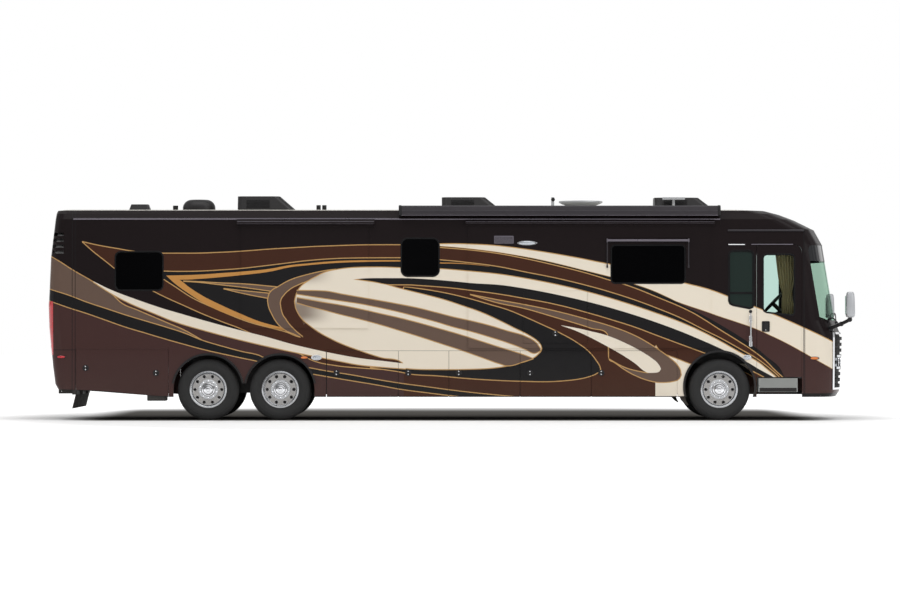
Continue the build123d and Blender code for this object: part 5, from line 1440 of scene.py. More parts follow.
@dataclass
class Windows:
    """Gaskets, dividers and the hood over the slide-out's window.

    A window wider than the divided length has a bar down its middle.
    """

    lip: float = 0.020
    proud: float = 0.005
    divided: float = 1.0
    openings: tuple[tuple[str, str, int, Point2, Point2, float, float], ...] = (
        ("rear_right", "body", RIGHT, (-5.672, 2.220), (-4.873, 2.863), 0.085, SIDE_Y),
        ("mid_right", "body", RIGHT, (-0.800, 2.459), (-0.170, 3.091), 0.100, SIDE_Y),
        ("living", "living_slide", RIGHT, (2.776, 2.340), (4.020, 2.975), 0.060, FLANGE_Y),
        ("bedroom_left", "body", LEFT, (-3.050, 2.220), (-2.250, 2.863), 0.085, SIDE_Y),
        ("rear_left", "body", LEFT, (-5.672, 2.220), (-4.873, 2.863), 0.085, SIDE_Y),
        ("driver", "body", LEFT, (5.300, 1.850), (5.880, 2.876), 0.070, SIDE_Y),
        ("lounge_front", "left_slide", LEFT, (2.776, 2.340), (4.020, 2.975), 0.060, FLANGE_Y),
        ("lounge_rear", "left_slide", LEFT, (0.800, 2.340), (1.900, 2.975), 0.060, FLANGE_Y),
    )

    def build(self) -> None:
        """Makes every gasket and the hood."""
        for name, body, side, low, high, radius, skin in self.openings:
            inner = rounded(low, high, radius)
            part = Mesh(f"window_gasket_{name}")
            part.frame(grown(inner, self.lip), grown(inner, -0.004), side * (skin - 0.001),
                       side * (skin + self.proud))
            if high[0] - low[0] > self.divided:
                middle = (low[0] + high[0]) / 2
                y0, y1 = sorted((side * (skin - 0.004), side * (skin + 0.002)))
                part.box((middle - 0.009, y0, low[1]), (middle + 0.009, y1, high[1]))
            part.done(Plastic.GLOSS_BLACK, body, bevel=0.002)
            if "slide" in body:
                pane = Mesh(f"slide_pane_{name}")
                pane.prism(grown(inner, -0.003), side * (skin - 0.0005), side * (skin + 0.0025))
                pane.done(Pane.SLIDE, body)
        self.shaped()
        self.hood()

    def shaped(self) -> None:
        """Makes the gaskets of the tall window, with its vent bar, and of the entry door."""
        tall = [
            (4.842, 1.968), (5.126, 1.912), (5.172, 1.930), (5.186, 1.975), (5.186, 2.820),
            (5.168, 2.862), (5.126, 2.880), (4.842, 2.880), (4.800, 2.862), (4.782, 2.820),
            (4.782, 2.035), (4.798, 1.990),
        ]
        entry = [
            (5.420, 1.838), (5.826, 1.790), (5.872, 1.802), (5.889, 1.842), (5.889, 2.764),
            (5.871, 2.806), (5.829, 2.824), (5.416, 2.824), (5.374, 2.806), (5.356, 2.764),
            (5.356, 1.910), (5.374, 1.860),
        ]
        for name, outline, out, inset, body in (
                ("window_gasket_tall", tall, 0.024, 0.012, "body"),
                ("entry_door_gasket", entry, 0.016, 0.014, "entry_door")):
            part = Mesh(name)
            part.frame(grown(outline, out), grown(outline, -inset), -SIDE_Y + 0.001,
                       -SIDE_Y - self.proud)
            if outline is tall:
                part.box((4.784, -SIDE_Y - 0.004, 2.150), (5.184, -SIDE_Y + 0.002, 2.185))
            part.done(Plastic.GLOSS_BLACK, body, bevel=0.002)

    def hood(self) -> None:
        """Makes the rolled sunshade over the slide-out's window, with its two arms."""
        y = -FLANGE_Y - 0.030
        roll = Mesh("window_shade_roll")
        roll.tube([(2.705 + i * 0.4594, y, 3.062) for i in range(4)], 0.024, 14)
        roll.box((2.690, y - 0.030, 3.030), (2.712, -FLANGE_Y + 0.001, 3.094))
        roll.box((4.076, y - 0.030, 3.030), (4.098, -FLANGE_Y + 0.001, 3.094))
        roll.done(Metal.ANODISED, "living_slide", bevel=0.002)
        arms = Mesh("window_shade_arms")
        for x in (2.701, 4.087):
            arms.box((x - 0.009, -FLANGE_Y - 0.020, 2.616), (x + 0.009, -FLANGE_Y - 0.006, 3.040))
            arms.box((x - 0.014, -FLANGE_Y - 0.022, 2.596), (x + 0.014, -FLANGE_Y + 0.001, 2.640))
        arms.done(Metal.AWNING, "living_slide", bevel=0.002)


class Lamps:
    """Markers, docking lamps, the porch light and the range vent beside it."""

    def oval(self, name: str, x: float, z: float, wide: float, high: float, finish: Finish,
             side: int, body: str = "body", bezel: Finish | None = None,
             skin: float = SIDE_Y) -> None:
        """Makes an oval lamp on the side, with a bezel round it where one is named.

        Args:
            name: The lamp's name.
            x: Its middle along the vehicle.
            z: Its middle's height.
            wide: Its length.
            high: Its height.
            finish: The lens.
            side: The vehicle's side.
            body: The body that it rides on.
            bezel: The bezel's finish, if it has one.
            skin: How far out the skin lies.
        """
        rings = {
            share: [(x + wide / 2 * share * c, z + high / 2 * share * s) for c, s in circle(32)]
            for share in (1.0, 0.80, 0.78, 0.62, 0.30)
        }
        lens = Mesh(name)
        depths = ((0.80, -0.001), (0.80, 0.006), (0.62, 0.011), (0.30, 0.0135))
        lens.loft([[(px, side * (skin + out), pz) for px, pz in rings[share]]
                   for share, out in depths])
        lens.done(finish, body)
        part = Mesh(f"{name}_bezel")
        part.frame(rings[1.0], rings[0.78], side * (skin - 0.001), side * (skin + 0.008))
        part.done(bezel or Plastic.GRAINED_BLACK, body, bevel=0.002)

    def build(self) -> None:
        """Makes all the small lamps on both sides, then the vent's plate."""
        for word, side in SIDES:
            self.oval(f"rear_marker_{word}", -6.600, 1.079, 0.170, 0.052, Plastic.RED_LENS, side)
            self.oval(f"front_marker_{word}", 6.230, 1.056, 0.170, 0.055, Plastic.AMBER_LENS, side)
            self.oval(f"front_docking_lamp_{word}", 5.086, 1.070, 0.150, 0.088,
                      Plastic.LAMP_BOWL, side, bezel=Metal.CHROME)
        self.oval("wheel_marker_right", -2.459, 1.068, 0.148, 0.050, Plastic.AMBER_LENS, RIGHT)
        self.oval("wheel_docking_lamp_right", -2.252, 1.068, 0.183, 0.092, Plastic.LAMP_BOWL,
                  RIGHT, bezel=Metal.CHROME)
        self.oval("porch_light", 1.337, 3.018, 0.334, 0.078, Plastic.LAMP_BOWL, RIGHT,
                  "living_slide", Metal.CHROME, FLANGE_Y)
        vent = Mesh("range_vent_plate")
        outline = rounded((0.774, 3.008), (1.108, 3.142), 0.012)
        vent.frame(outline, grown(outline, -0.014), -FLANGE_Y + 0.001, -FLANGE_Y - 0.008)
        for i in range(7):
            z = 3.026 + 0.0153 * i
            vent.prism([(0.786, z), (1.096, z), (1.096, z + 0.011), (0.786, z + 0.011)],
                       -FLANGE_Y + 0.001, -FLANGE_Y - 0.005)
        vent.done(Metal.ANODISED, "living_slide", bevel=0.001)


@dataclass
class DoorGear:
    """Latches, handles and locks of the doors."""

    bays: tuple[tuple[str, int, tuple[float, ...]], ...] = (
        ("right", RIGHT, (-1.910, -0.687, 0.172, 1.387, 2.599)),
        ("left", LEFT, (-1.910, -0.417, 1.077, 2.571)),
    )
    latch_z: float = 0.806

    def latch(self, name: str, body: str, side: int, x: float, z: float, skin: float) -> None:
        """Makes a round T-handle latch with its two bright knuckles.

        Args:
            name: The latch's name.
            body: The door that it rides on.
            side: The vehicle's side.
            x: Its place along the vehicle.
            z: Its height.
            skin: How far out the door's skin lies.
        """
        part = Mesh(name)
        part.turned([(-0.001, 0.053), (0.005, 0.053), (0.008, 0.050), (0.0085, 0.044),
                     (0.0065, 0.040), (0.0065, 0.012)], (x, side * skin, z), 36, side)
        bar = rounded((x - 0.011, z - 0.036), (x + 0.011, z + 0.036), 0.008)
        part.prism(bar, side * (skin + 0.006), side * (skin + 0.015))
        part.done(Plastic.GRAINED_BLACK, body, bevel=0.0015)
        knuckles = Mesh(f"{name}_knuckles")
        for up in (-0.026, 0.026):
            knuckles.turned([(0.013, 0.010), (0.017, 0.010), (0.0195, 0.007), (0.020, 0.002)],
                            (x - 0.002, side * skin, z + up), 16, side)
        knuckles.done(Metal.CHROME, body)

    def build(self) -> None:
        """Makes the gear of every door."""
        for word, side, places in self.bays:
            for place, x in enumerate(places, 1):
                body = f"bay_door_{word}_{place}"
                self.latch(f"latch_{body}", body, side, x, self.latch_z, SIDE_Y)
        for word, side in SIDES:
            door = f"rear_door_{word}"
            self.latch(f"latch_{door}_rear", door, side, -6.182, 0.890, SIDE_Y)
            self.latch(f"latch_{door}_front", door, side, -4.983, self.latch_z, SIDE_Y)
        self.latch("latch_tv_door", "tv_door", RIGHT, 1.817, 1.475, FLANGE_Y)
        self.paddle()
        self.handle()

    def paddle(self) -> None:
        """Makes the entry door's black paddle latch."""
        plate = rounded((5.334, 1.507), (5.469, 1.688), 0.020)
        part = Mesh("entry_paddle_latch")
        part.frame(plate, grown(plate, -0.016), -SIDE_Y + 0.001, -SIDE_Y - 0.009)
        part.prism(grown(plate, -0.015), -SIDE_Y + 0.001, -SIDE_Y - 0.002)
        paddle = rounded((5.362, 1.545), (5.441, 1.664), 0.012)
        part.layers(paddle, ((-SIDE_Y, 0.0), (-SIDE_Y - 0.007, -0.002),
                             (-SIDE_Y - 0.010, -0.010)))
        part.done(Plastic.GRAINED_BLACK, "entry_door", bevel=0.0015)
        lock = Mesh("entry_key_lock")
        lock.turned([(-0.001, 0.011), (-0.0045, 0.011), (-0.006, 0.009), (-0.006, 0.002)],
                    (5.401, -SIDE_Y - 0.001, 1.530), 20)
        lock.done(Metal.CHROME, "entry_door")

    def handle(self) -> None:
        """Makes the grab handle's two plates and the deadbolt beside the entry door."""
        plates = Mesh("grab_handle_plates")
        for low, high in ((1.247, 1.441), (1.652, 1.790)):
            outline = rounded((5.118, low), (5.170, high), 0.024)
            plates.layers(outline, ((-SIDE_Y + 0.001, 0.0), (-SIDE_Y - 0.007, 0.0),
                                    (-SIDE_Y - 0.014, -0.008)))
            middle = (low + high) / 2
            plates.tube([(5.143, -SIDE_Y - 0.010, middle), (5.143, -SIDE_Y - 0.026, middle),
                         (5.143, -SIDE_Y - 0.045, middle)], 0.016, 16)
        plates.done(Metal.CHROME, "body", bevel=0.001)
        bolt = Mesh("deadbolt")
        bolt.turned([(0.001, 0.028), (-0.006, 0.028), (-0.011, 0.022), (-0.012, 0.004)],
                    (5.143, -SIDE_Y, 1.852), 24)
        bolt.done(Plastic.GRAINED_BLACK, "body")


@dataclass
class Trim:
    """Gutters, mouldings, awning dress, splash guards and liners."""

    bay_seams: tuple[tuple[int, tuple[float, ...]], ...] = (
        (RIGHT, (-0.860, -0.001, 1.214, 2.426)), (LEFT, (-0.590, 0.904, 2.398)),
    )
    strip_step: float = 0.8

    def strip(self, name: str, section: Sequence[Point2], low_x: float, high_x: float,
              finish: Finish, both: bool = False) -> None:
        """Makes an extruded strip that runs along the vehicle.

        Args:
            name: The strip's name.
            section: Its outline in Y, counted outwards, and Z.
            low_x: Where it starts.
            high_x: Where it ends.
            finish: Its finish.
            both: Whether the left side has one too.
        """
        part = Mesh(name)
        steps = max(2, int((high_x - low_x) / self.strip_step))
        places = [low_x + (high_x - low_x) * i / steps for i in range(steps + 1)]
        for side in (RIGHT, LEFT) if both else (RIGHT,):
            part.along([(side * y, z) for y, z in section], places)
        part.done(finish, "body", bevel=0.0015)

    def build(self) -> None:
        """Makes every trim piece."""
        awning = ((1.408, 3.488), (1.4155, 3.494), (1.4185, 3.512), (1.4185, 3.548),
                  (1.4150, 3.566), (1.400, 3.574))
        lip = ((1.4150, 3.482), (1.4200, 3.484), (1.4215, 3.488), (1.4200, 3.492), (1.4150, 3.492))
        gutter = ((1.282, 3.218), (1.299, 3.222), (1.306, 3.236), (1.301, 3.248), (1.296, 3.238),
                  (1.282, 3.252))
        edge = ((1.282, 3.414), (1.291, 3.417), (1.294, 3.427), (1.291, 3.438), (1.276, 3.446))
        entry = ((1.282, 2.992), (1.292, 2.990), (1.295, 3.002), (1.282, 3.007))
        slide = ((1.282, 2.988), (1.293, 2.986), (1.297, 3.000), (1.282, 3.007))
        self.strip("door_gutter", gutter, 4.757, 6.055, Metal.AWNING)
        # A drip strip over the entry door, made bright for the highlight along the door's top gap:
        # partly a painted highlight
        self.strip("entry_drip_highlight_strip", entry, 5.157, 5.866, Metal.ANODISED)
        self.strip("slide_drip_strip", slide, 4.764, 5.046, Metal.CHROME)
        self.strip("roof_edge_moulding", edge, -6.395, 4.625, Metal.ANODISED, both=True)
        self.strip("awning_roll_cover", awning, -0.800, 4.577, Metal.AWNING)
        self.strip("awning_roll_lip", lip, -0.800, 4.577, Metal.ANODISED)
        self.toppers()
        self.awning_ends()
        self.backing()
        self.liners()
        self.guards()
        self.belly()
        self.step_ribs()

    def toppers(self) -> None:
        """Runs bright strips round the two slide-out toppers' rolls, as painted highlights."""
        for name, low, high, middle, skin, radius, body in (
                ("bedroom", -3.600, -1.273, 3.367, 1.372, 0.042, "bedroom_slide"),
                ("living", 0.292, 4.527, 3.372, 1.347, 0.030, "living_slide")):
            part = Mesh(f"topper_painted_highlight_{name}")
            places = [low + (high - low) * i / 4 for i in range(5)]
            # Each roll gets two bright strips where highlights fall on it: painted highlights
            for turn, wide in ((0.30, 0.10), (-0.55, 0.05)):
                section = []
                for step, out in ((-1.0, -0.001), (-0.8, 0.0022), (0.8, 0.0022), (1.0, -0.001)):
                    angle = turn + wide * step
                    reach = radius + out
                    section.append((-(skin - radius + reach * math.cos(angle)),
                                    middle + reach * math.sin(angle)))
                part.along(section, places)
            part.done(Metal.ANODISED, body)

    def awning_ends(self) -> None:
        """Caps the awning's ends with moulded covers."""
        section = [(1.190, 3.474), (1.398, 3.474), (1.421, 3.492), (1.423, 3.560), (1.396, 3.646),
                   (1.356, 3.662), (1.190, 3.662)]
        caps = Mesh("awning_end_caps")
        for low, high in ((-0.850, -0.800), (4.577, 4.627)):
            rows = []
            for x, by in ((low, -0.010), (low + 0.008, 0.0), (high - 0.008, 0.0), (high, -0.010)):
                rows.append([(x, -y, z) for y, z in grown(section, by)])
            caps.loft(rows)
        caps.done(Plastic.GRAINED_BLACK, "body", bevel=0.003)

    def backing(self) -> None:
        """Closes the gaps behind the bay doors' seams below the floor's edge."""
        part = Mesh("door_seam_seals")
        for side, places in self.bay_seams:
            for x in places:
                part.loft([[(px, side * py, z) for px, py in (
                    (x - 0.028, 1.228), (x + 0.028, 1.228), (x + 0.028, 1.240),
                    (x, 1.2435), (x - 0.028, 1.240),
                )] for z in (0.404, 0.470)])
        part.done(Plastic.FLAP, "body")

    def liners(self) -> None:
        """Hangs the inner wheel-well liners between the tag and drive wheels."""
        part = Mesh("wheel_well_liners")
        outline = [(-3.86, 1.170), (-3.80, 0.80), (-3.70, 0.52), (-3.66, 0.455), (-3.29, 0.455),
                   (-3.25, 0.52), (-3.15, 0.80), (-3.09, 1.170)]
        for side in (RIGHT, LEFT):
            part.prism(outline, side * 0.5865, side * 0.5905)
            for z in (0.62, 0.80, 0.98):
                part.prism([(-3.70, z), (-3.24, z), (-3.24, z + 0.02), (-3.70, z + 0.02)],
                           side * 0.578, side * 0.5875)
        part.done(Plastic.GRAINED_BLACK, "body", bevel=0.002)

    def guards(self) -> None:
        """Makes the rubber splash guards behind the front wheels."""
        part = Mesh("front_splash_guards")
        outline = [(3.938, 0.402), (3.962, 0.345), (4.018, 0.285), (4.078, 0.250), (4.084, 0.262),
                   (4.052, 0.318), (4.034, 0.372), (4.026, 0.420), (3.938, 0.420)]
        for side in (RIGHT, LEFT):
            part.layers(outline, [(side * y, by) for y, by in (
                (1.160, -0.004), (1.166, 0.0), (1.228, 0.0), (1.234, -0.004),
            )])
        part.done(Plastic.FLAP, "body")

    def belly(self) -> None:
        """Makes the dark box that hangs ahead of the engine bay, with its bearer."""
        part = Mesh("belly_box")
        section = rounded((-5.140, 0.329), (-4.815, 0.440), 0.016)
        part.layers(section, ((-1.236, -0.012), (-1.224, 0.0), (-0.930, 0.0), (-0.918, -0.012)))
        part.prism([(-5.020, 0.400), (-4.940, 0.400), (-4.940, 0.470), (-5.020, 0.470)],
                   -1.150, -0.405)
        part.prism([(-5.020, 0.400), (-4.940, 0.400), (-4.950, 1.000), (-5.010, 1.000)],
                   -0.405, -0.385)
        part.done(Metal.CHASSIS, "body", bevel=0.003)

    def step_ribs(self) -> None:
        """Ribs the entry step's bright front plate."""
        part = Mesh("step_plate")
        ribs = 14
        low, high = 0.560, 0.712
        rise = (high - low) / ribs
        rows = []
        for i in range(ribs):
            z = low + rise * i
            rows += [(-SIDE_Y - 0.0025, z), (-SIDE_Y - 0.0065, z + rise * 0.2),
                     (-SIDE_Y - 0.0065, z + rise * 0.6), (-SIDE_Y - 0.0025, z + rise * 0.8)]
        section = [(-SIDE_Y + 0.0005, low), *rows, (-SIDE_Y - 0.0025, high),
                   (-SIDE_Y + 0.0005, high)]
        part.along(section, (5.281, 5.500, 5.720, 5.939))
        part.done(Metal.TREAD_PLATE, "entry_step")
        kick = Mesh("step_kick_plate")
        kick.prism(rounded((5.292, 0.486), (5.928, 0.553), 0.008), -SIDE_Y + 0.0005,
                   -SIDE_Y - 0.003)
        kick.done(Plastic.GRAINED_BLACK, "entry_step")


@dataclass
class Mirrors:
    """The two outside mirrors, on arms that sweep forward from the nose."""

    head_x: float = 6.8155
    head_y: float = 1.496

    def build(self) -> None:
        """Makes heads, arms, feet and the grab bar, which together replace the CAD node."""
        heads = Mesh("mirror_heads")
        rows = ((1.750, 0.50), (1.754, 0.72), (1.764, 0.88), (1.785, 0.97), (1.830, 1.0),
                (1.950, 0.98), (2.060, 0.93), (2.130, 0.86), (2.162, 0.78), (2.178, 0.64),
                (2.185, 0.44))
        for side in (RIGHT, LEFT):
            heads.loft([[(self.head_x + a, side * self.head_y + b, z)
                         for a, b in squared(0.078 * share, 0.100 * share, 0.62, 40)]
                        for z, share in rows])
        made = heads.done(Metal.DISH, "body", smooth=60.0)
        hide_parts("mirrors")
        glasses = Mesh("mirror_glasses")
        for side in (RIGHT, LEFT):
            pane = rounded((side * self.head_y - 0.072, 1.800), (side * self.head_y + 0.072, 2.115),
                           0.030)
            glasses.along(pane, (self.head_x - 0.0765, self.head_x - 0.0790))
        glasses.done(Metal.CHROME, "body")
        self.arms()
        self.bar()

    def arms(self) -> None:
        """Makes the black arms with their stays and feet."""
        arms = Mesh("mirror_arms")
        for side in (RIGHT, LEFT):
            path = [(6.470, 1.110, 1.556), (6.560, 1.205, 1.585), (6.680, 1.335, 1.640),
                    (6.770, 1.440, 1.690), (6.806, 1.487, 1.712), (self.head_x, 1.496, 1.735),
                    (self.head_x, 1.496, 1.762)]
            arms.tube([(x, side * y, z) for x, y, z in path], 0.030, 16)
            stay = [(6.470, 1.110, 1.600), (6.490, 1.135, 1.700), (6.520, 1.170, 1.742),
                    (6.565, 1.215, 1.735), (6.600, 1.255, 1.690), (6.640, 1.295, 1.640)]
            arms.tube([(x, side * y, z) for x, y, z in stay], 0.013, 10)
            for x, y, z in path[2:5:2]:
                arms.turned([(-0.030, 0.036), (-0.026, 0.040), (0.026, 0.040), (0.030, 0.036)],
                            (x, side * y, z), 20)
        arms.done(Plastic.GRAINED_BLACK, "body")
        feet = Mesh("mirror_feet")
        for side in (RIGHT, LEFT):
            feet.loft([[(6.500 + a, side * y, 1.560 + b)
                        for a, b in squared(wide, high, 0.5, 32)]
                       for y, wide, high in ((1.020, 0.075, 0.052), (1.110, 0.080, 0.056),
                                             (1.150, 0.070, 0.048), (1.170, 0.050, 0.034))])
        feet.done(Plastic.GLOSS_BLACK, "body", smooth=50.0)

    def bar(self) -> None:
        """Makes the chrome grab bar beside the entry door."""
        bar = Mesh("grab_bar")
        y = -SIDE_Y - 0.045
        path = [(5.143, y, z) for z in (1.262, 1.290, 1.420, 1.560, 1.700, 1.800, 1.826)]
        bar.tube(path, 0.014, 20)
        bar.done(Metal.CHROME, "body")


@dataclass
class RoofGear:
    """What the roof units carry: air grilles, fixing ridges and the dish's feed."""

    units: tuple[tuple[float, float, float], ...] = (
        (-3.663, -2.668, 3.857), (-0.120, 0.894, 3.841), (3.571, 4.593, 3.834),
    )
    foot_z: float = 3.632

    def build(self) -> None:
        """Makes the grilles and ribs of the air conditioners, and the dish's feed."""
        part = Mesh("cooler_grilles")
        for low, high, top in self.units:
            rise = top - self.foot_z
            for side in (RIGHT, LEFT):
                for k in range(6):
                    z = 3.655 + 0.024 * k
                    lean = 0.065 * (z - self.foot_z) / rise
                    y0, y1 = side * (0.344 - lean), side * (0.357 - lean)
                    part.along(((y0, z), (y1, z + 0.003), (y1, z + 0.011), (y0, z + 0.014)),
                               (low + 0.16, low + 0.36, low + 0.56))
            for k in range(7):
                x = high - 0.30 - 0.045 * k
                part.loft([[(px, y, top + out) for px, out in (
                    (x - 0.008, -0.004), (x - 0.005, 0.0), (x + 0.005, 0.0), (x + 0.008, -0.004),
                )] for y in (-0.20, 0.0, 0.20)])
        part.done(Plastic.GRAINED_BLACK, "body")
        feed = Mesh("dish_feed_horn")
        feed.turned([(-0.045, 0.022), (-0.038, 0.032), (0.0, 0.035), (0.038, 0.032),
                     (0.045, 0.022)], (1.818, 0.0, 3.812), 24)
        feed.done(Plastic.ROOF_COVER, "body")


@dataclass(frozen=True)
class Pad:
    """A stuffed pad: where it lies, how big it is and where it is sewn down.

    The seams' and the piping's places and widths are shares of half its size.
    """

    name: str
    centre: Point3
    size: Point3
    tilt: float = 0.0
    channels: tuple[float, ...] = ()
    crown: float = 0.22
    pinch: float = 0.045
    fill: float = 0.8
    finish: Finish = Soft.LEATHER
    squareness: float = 5.0
    seam_w: float = 0.045
    seam_depth: float = 0.13
    piping_at: float = 0.80
    piping_w: float = 0.035
    piping_depth: float = 0.05

    def shaped(self, co: Vector) -> Vector:
        """Turns a point on a cube into one on the crowned, pinched and sewn pad."""
        reach = sum(abs(c) ** self.squareness for c in co) ** (1 / self.squareness)
        x, y, z = (c / reach for c in co)
        z *= 1 + self.crown * (1 - x * x) * (1 - y * y)
        pulled = (x * (1 - self.pinch * (1 - y * y)), y * (1 - self.pinch * (1 - x * x)))
        sewn = sum(math.exp(-((y - place) / self.seam_w) ** 2) for place in self.channels)
        edge = sum(math.exp(-((abs(c) - self.piping_at) / self.piping_w) ** 2) for c in (x, y))
        sunk = self.seam_depth * sewn + self.piping_depth * edge
        z *= 1 - sunk * max(0.0, 1 - abs(x) ** 8)
        return Vector((pulled[0] * self.size[0] / 2, pulled[1] * self.size[1] / 2,
                       z * self.size[2] / 2))

    def build(self, body: str) -> bpy.types.Object:
        """Makes the pad.

        Args:
            body: The body that it rides on.

        Returns:
            The pad's piece.
        """
        part = Mesh(self.name)
        bmesh.ops.create_cube(part.bm, size=2.0)
        bmesh.ops.subdivide_edges(part.bm, edges=part.bm.edges[:], cuts=25, use_grid_fill=True)
        turn = Matrix.Rotation(math.radians(self.tilt), 3, "Y")
        for vert in part.bm.verts:
            vert.co = Vector(self.centre) + turn @ self.shaped(vert.co)
        made = part.done(self.finish, body, smooth=80.0)
        return made


@dataclass
class Cab:
    """The cab's chairs, curtains and dashboard fittings, and the outside television.

    Each curtain is its side, its rear and front edges, and how far the rear one leans.
    """

    chairs: tuple[tuple[str, float, float], ...] = (
        ("driver", 5.330, 0.600), ("passenger", 4.900, -0.640),
    )
    floor_z: float = 1.236
    curtains: tuple[tuple[str, int, float, float, float], ...] = (
        ("right", RIGHT, 5.690, 5.900, 0.124), ("left", LEFT, 5.045, 5.255, 0.0),
    )
    curtain_foot: float = 1.790
    curtain_drop: float = 1.180
    curtain_y: float = 1.120
    curtain_grid: tuple[int, int] = (120, 40)
    lean_z: Point2 = (1.850, 2.950)
    fold_depth: float = 0.026
    folds: int = 12
    tie_z: float = 2.150
    tie_reach: float = 0.16
    tie_share: float = 0.30

    def build(self) -> None:
        """Makes everything in the cab that shows through its glass."""
        for place, (name, x, y) in enumerate(self.chairs):
            frame = self.frame(name, x, y)
            if place == 0:
                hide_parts("cab_seats")
            self.pads(name, x, y)
        self.curtain()
        self.dash()
        self.television()

    def frame(self, name: str, x: float, y: float) -> bpy.types.Object:
        """Makes one chair's pedestal, pan and arm posts."""
        part = Mesh(f"{name}_chair_frame")
        rings = ((0.0, 0.175), (0.020, 0.175), (0.035, 0.150), (0.060, 0.105), (0.250, 0.095),
                 (0.330, 0.120), (0.372, 0.170), (0.390, 0.175))
        part.loft([[(x + r * c, y + r * s, self.floor_z + up) for c, s in circle(36)]
                   for up, r in rings])
        part.loft([[(px, py, z) for px, py in (
            (x - 0.235 + cut, y - 0.245 + cut), (x + 0.235 - cut, y - 0.245 + cut),
            (x + 0.235 - cut, y + 0.245 - cut), (x - 0.235 + cut, y + 0.245 - cut),
        )] for z, cut in ((1.622, 0.02), (1.632, 0.0), (1.660, 0.0))])
        for side in (RIGHT, LEFT):
            part.tube([(x - 0.21, y + side * 0.262, 1.650), (x - 0.225, y + side * 0.288, 1.700),
                       (x - 0.225, y + side * 0.300, 1.800), (x - 0.215, y + side * 0.302, 1.888)],
                      0.018, 12)
        return part.done(Plastic.GRAINED_BLACK, "body", bevel=0.004)

    def pads(self, name: str, x: float, y: float) -> None:
        """Makes one chair's cushion, back, head rest and arms."""
        back = math.degrees(math.atan2(0.84, -0.11))
        pads = (
            Pad(f"{name}_cushion", (x + 0.010, y, 1.708), (0.530, 0.530, 0.130),
                channels=(-0.45, 0.45)),
            Pad(f"{name}_back_cushion", (x - 0.302, y, 2.075), (0.640, 0.510, 0.140), -back,
                channels=(-0.45, 0.45)),
            Pad(f"{name}_head_rest", (x - 0.358, y, 2.440), (0.150, 0.330, 0.110), -back,
                crown=0.16),
            Pad(f"{name}_arm_pad_inner", (x - 0.035, y + 0.304, 1.916), (0.400, 0.074, 0.062),
                crown=0.12, pinch=0.02),
            Pad(f"{name}_arm_pad_outer", (x - 0.035, y - 0.304, 1.916), (0.400, 0.074, 0.062),
                crown=0.12, pinch=0.02),
        )
        for pad in pads:
            pad.build("body")

    def curtain(self) -> None:
        """Hangs the gathered side curtains at the front pillars, tied in at mid height."""
        across, up = self.curtain_grid
        start, end = self.lean_z
        for word, side, rear, front, lean in self.curtains:
            rows = []
            for i in range(up + 1):
                z = self.curtain_foot + self.curtain_drop * i / up
                tied = 1 - self.tie_share * math.exp(-((z - self.tie_z) / self.tie_reach) ** 2)
                edge = rear - lean * ((z - start) / (end - start))
                centre, half = (edge + front) / 2, (front - edge) / 2
                rows.append([
                    (centre + half * tied * (2 * k / across - 1),
                     side * (self.curtain_y + self.fold_depth * tied
                             * math.cos(math.pi * self.folds * k / across)), z)
                    for k in range(across + 1)
                ])
            part = Mesh(f"pillar_curtain_{word}")
            part.loft(rows, closed=False, caps=False)
            made = part.done(Soft.CURTAIN, "body", smooth=80.0)

    def dash(self) -> None:
        """Fits the dashboard with its hood, screen and vents."""
        hood = Mesh("dash_instrument_hood")
        hood.loft([[(6.130 + 0.170 * math.cos(t) * share, y, 1.735 + 0.085 * math.sin(t) * share)
                    for t in (math.pi * k / 14 for k in range(15))]
                   for y, share in ((0.300, 0.80), (0.330, 1.0), (0.870, 1.0), (0.900, 0.80))])
        hood.done(Plastic.DASH, "body", smooth=50.0)
        screen = Mesh("dash_screen")
        screen.loft([[(6.098 - 0.10 * (z - 1.60) + out, y, z) for y, z in
                      rounded((-0.170, 1.585), (0.150, 1.735), 0.012)] for out in (-0.012, 0.02)])
        for y in (-0.52, -0.80, 0.22, 0.98):
            screen.along(rounded((y - 0.075, 1.500), (y + 0.075, 1.552), 0.010),
                         (6.070 - 0.014, 6.070 + 0.01))
        screen.done(Plastic.GLOSS_BLACK, "body", bevel=0.002)

    def television(self) -> None:
        """Fits the television behind its door on the living room's side."""
        part = Mesh("outside_television")
        outline = rounded((1.400, 1.460), (2.235, 2.060), 0.015)
        part.layers(outline, ((-1.170, -0.060), (-1.185, 0.0), (-1.212, 0.0), (-1.216, -0.004)))
        part.prism(rounded((1.660, 1.640), (1.975, 1.880), 0.010), -1.172, -1.078)
        part.done(Plastic.GLOSS_BLACK, "living_slide", bevel=0.002)


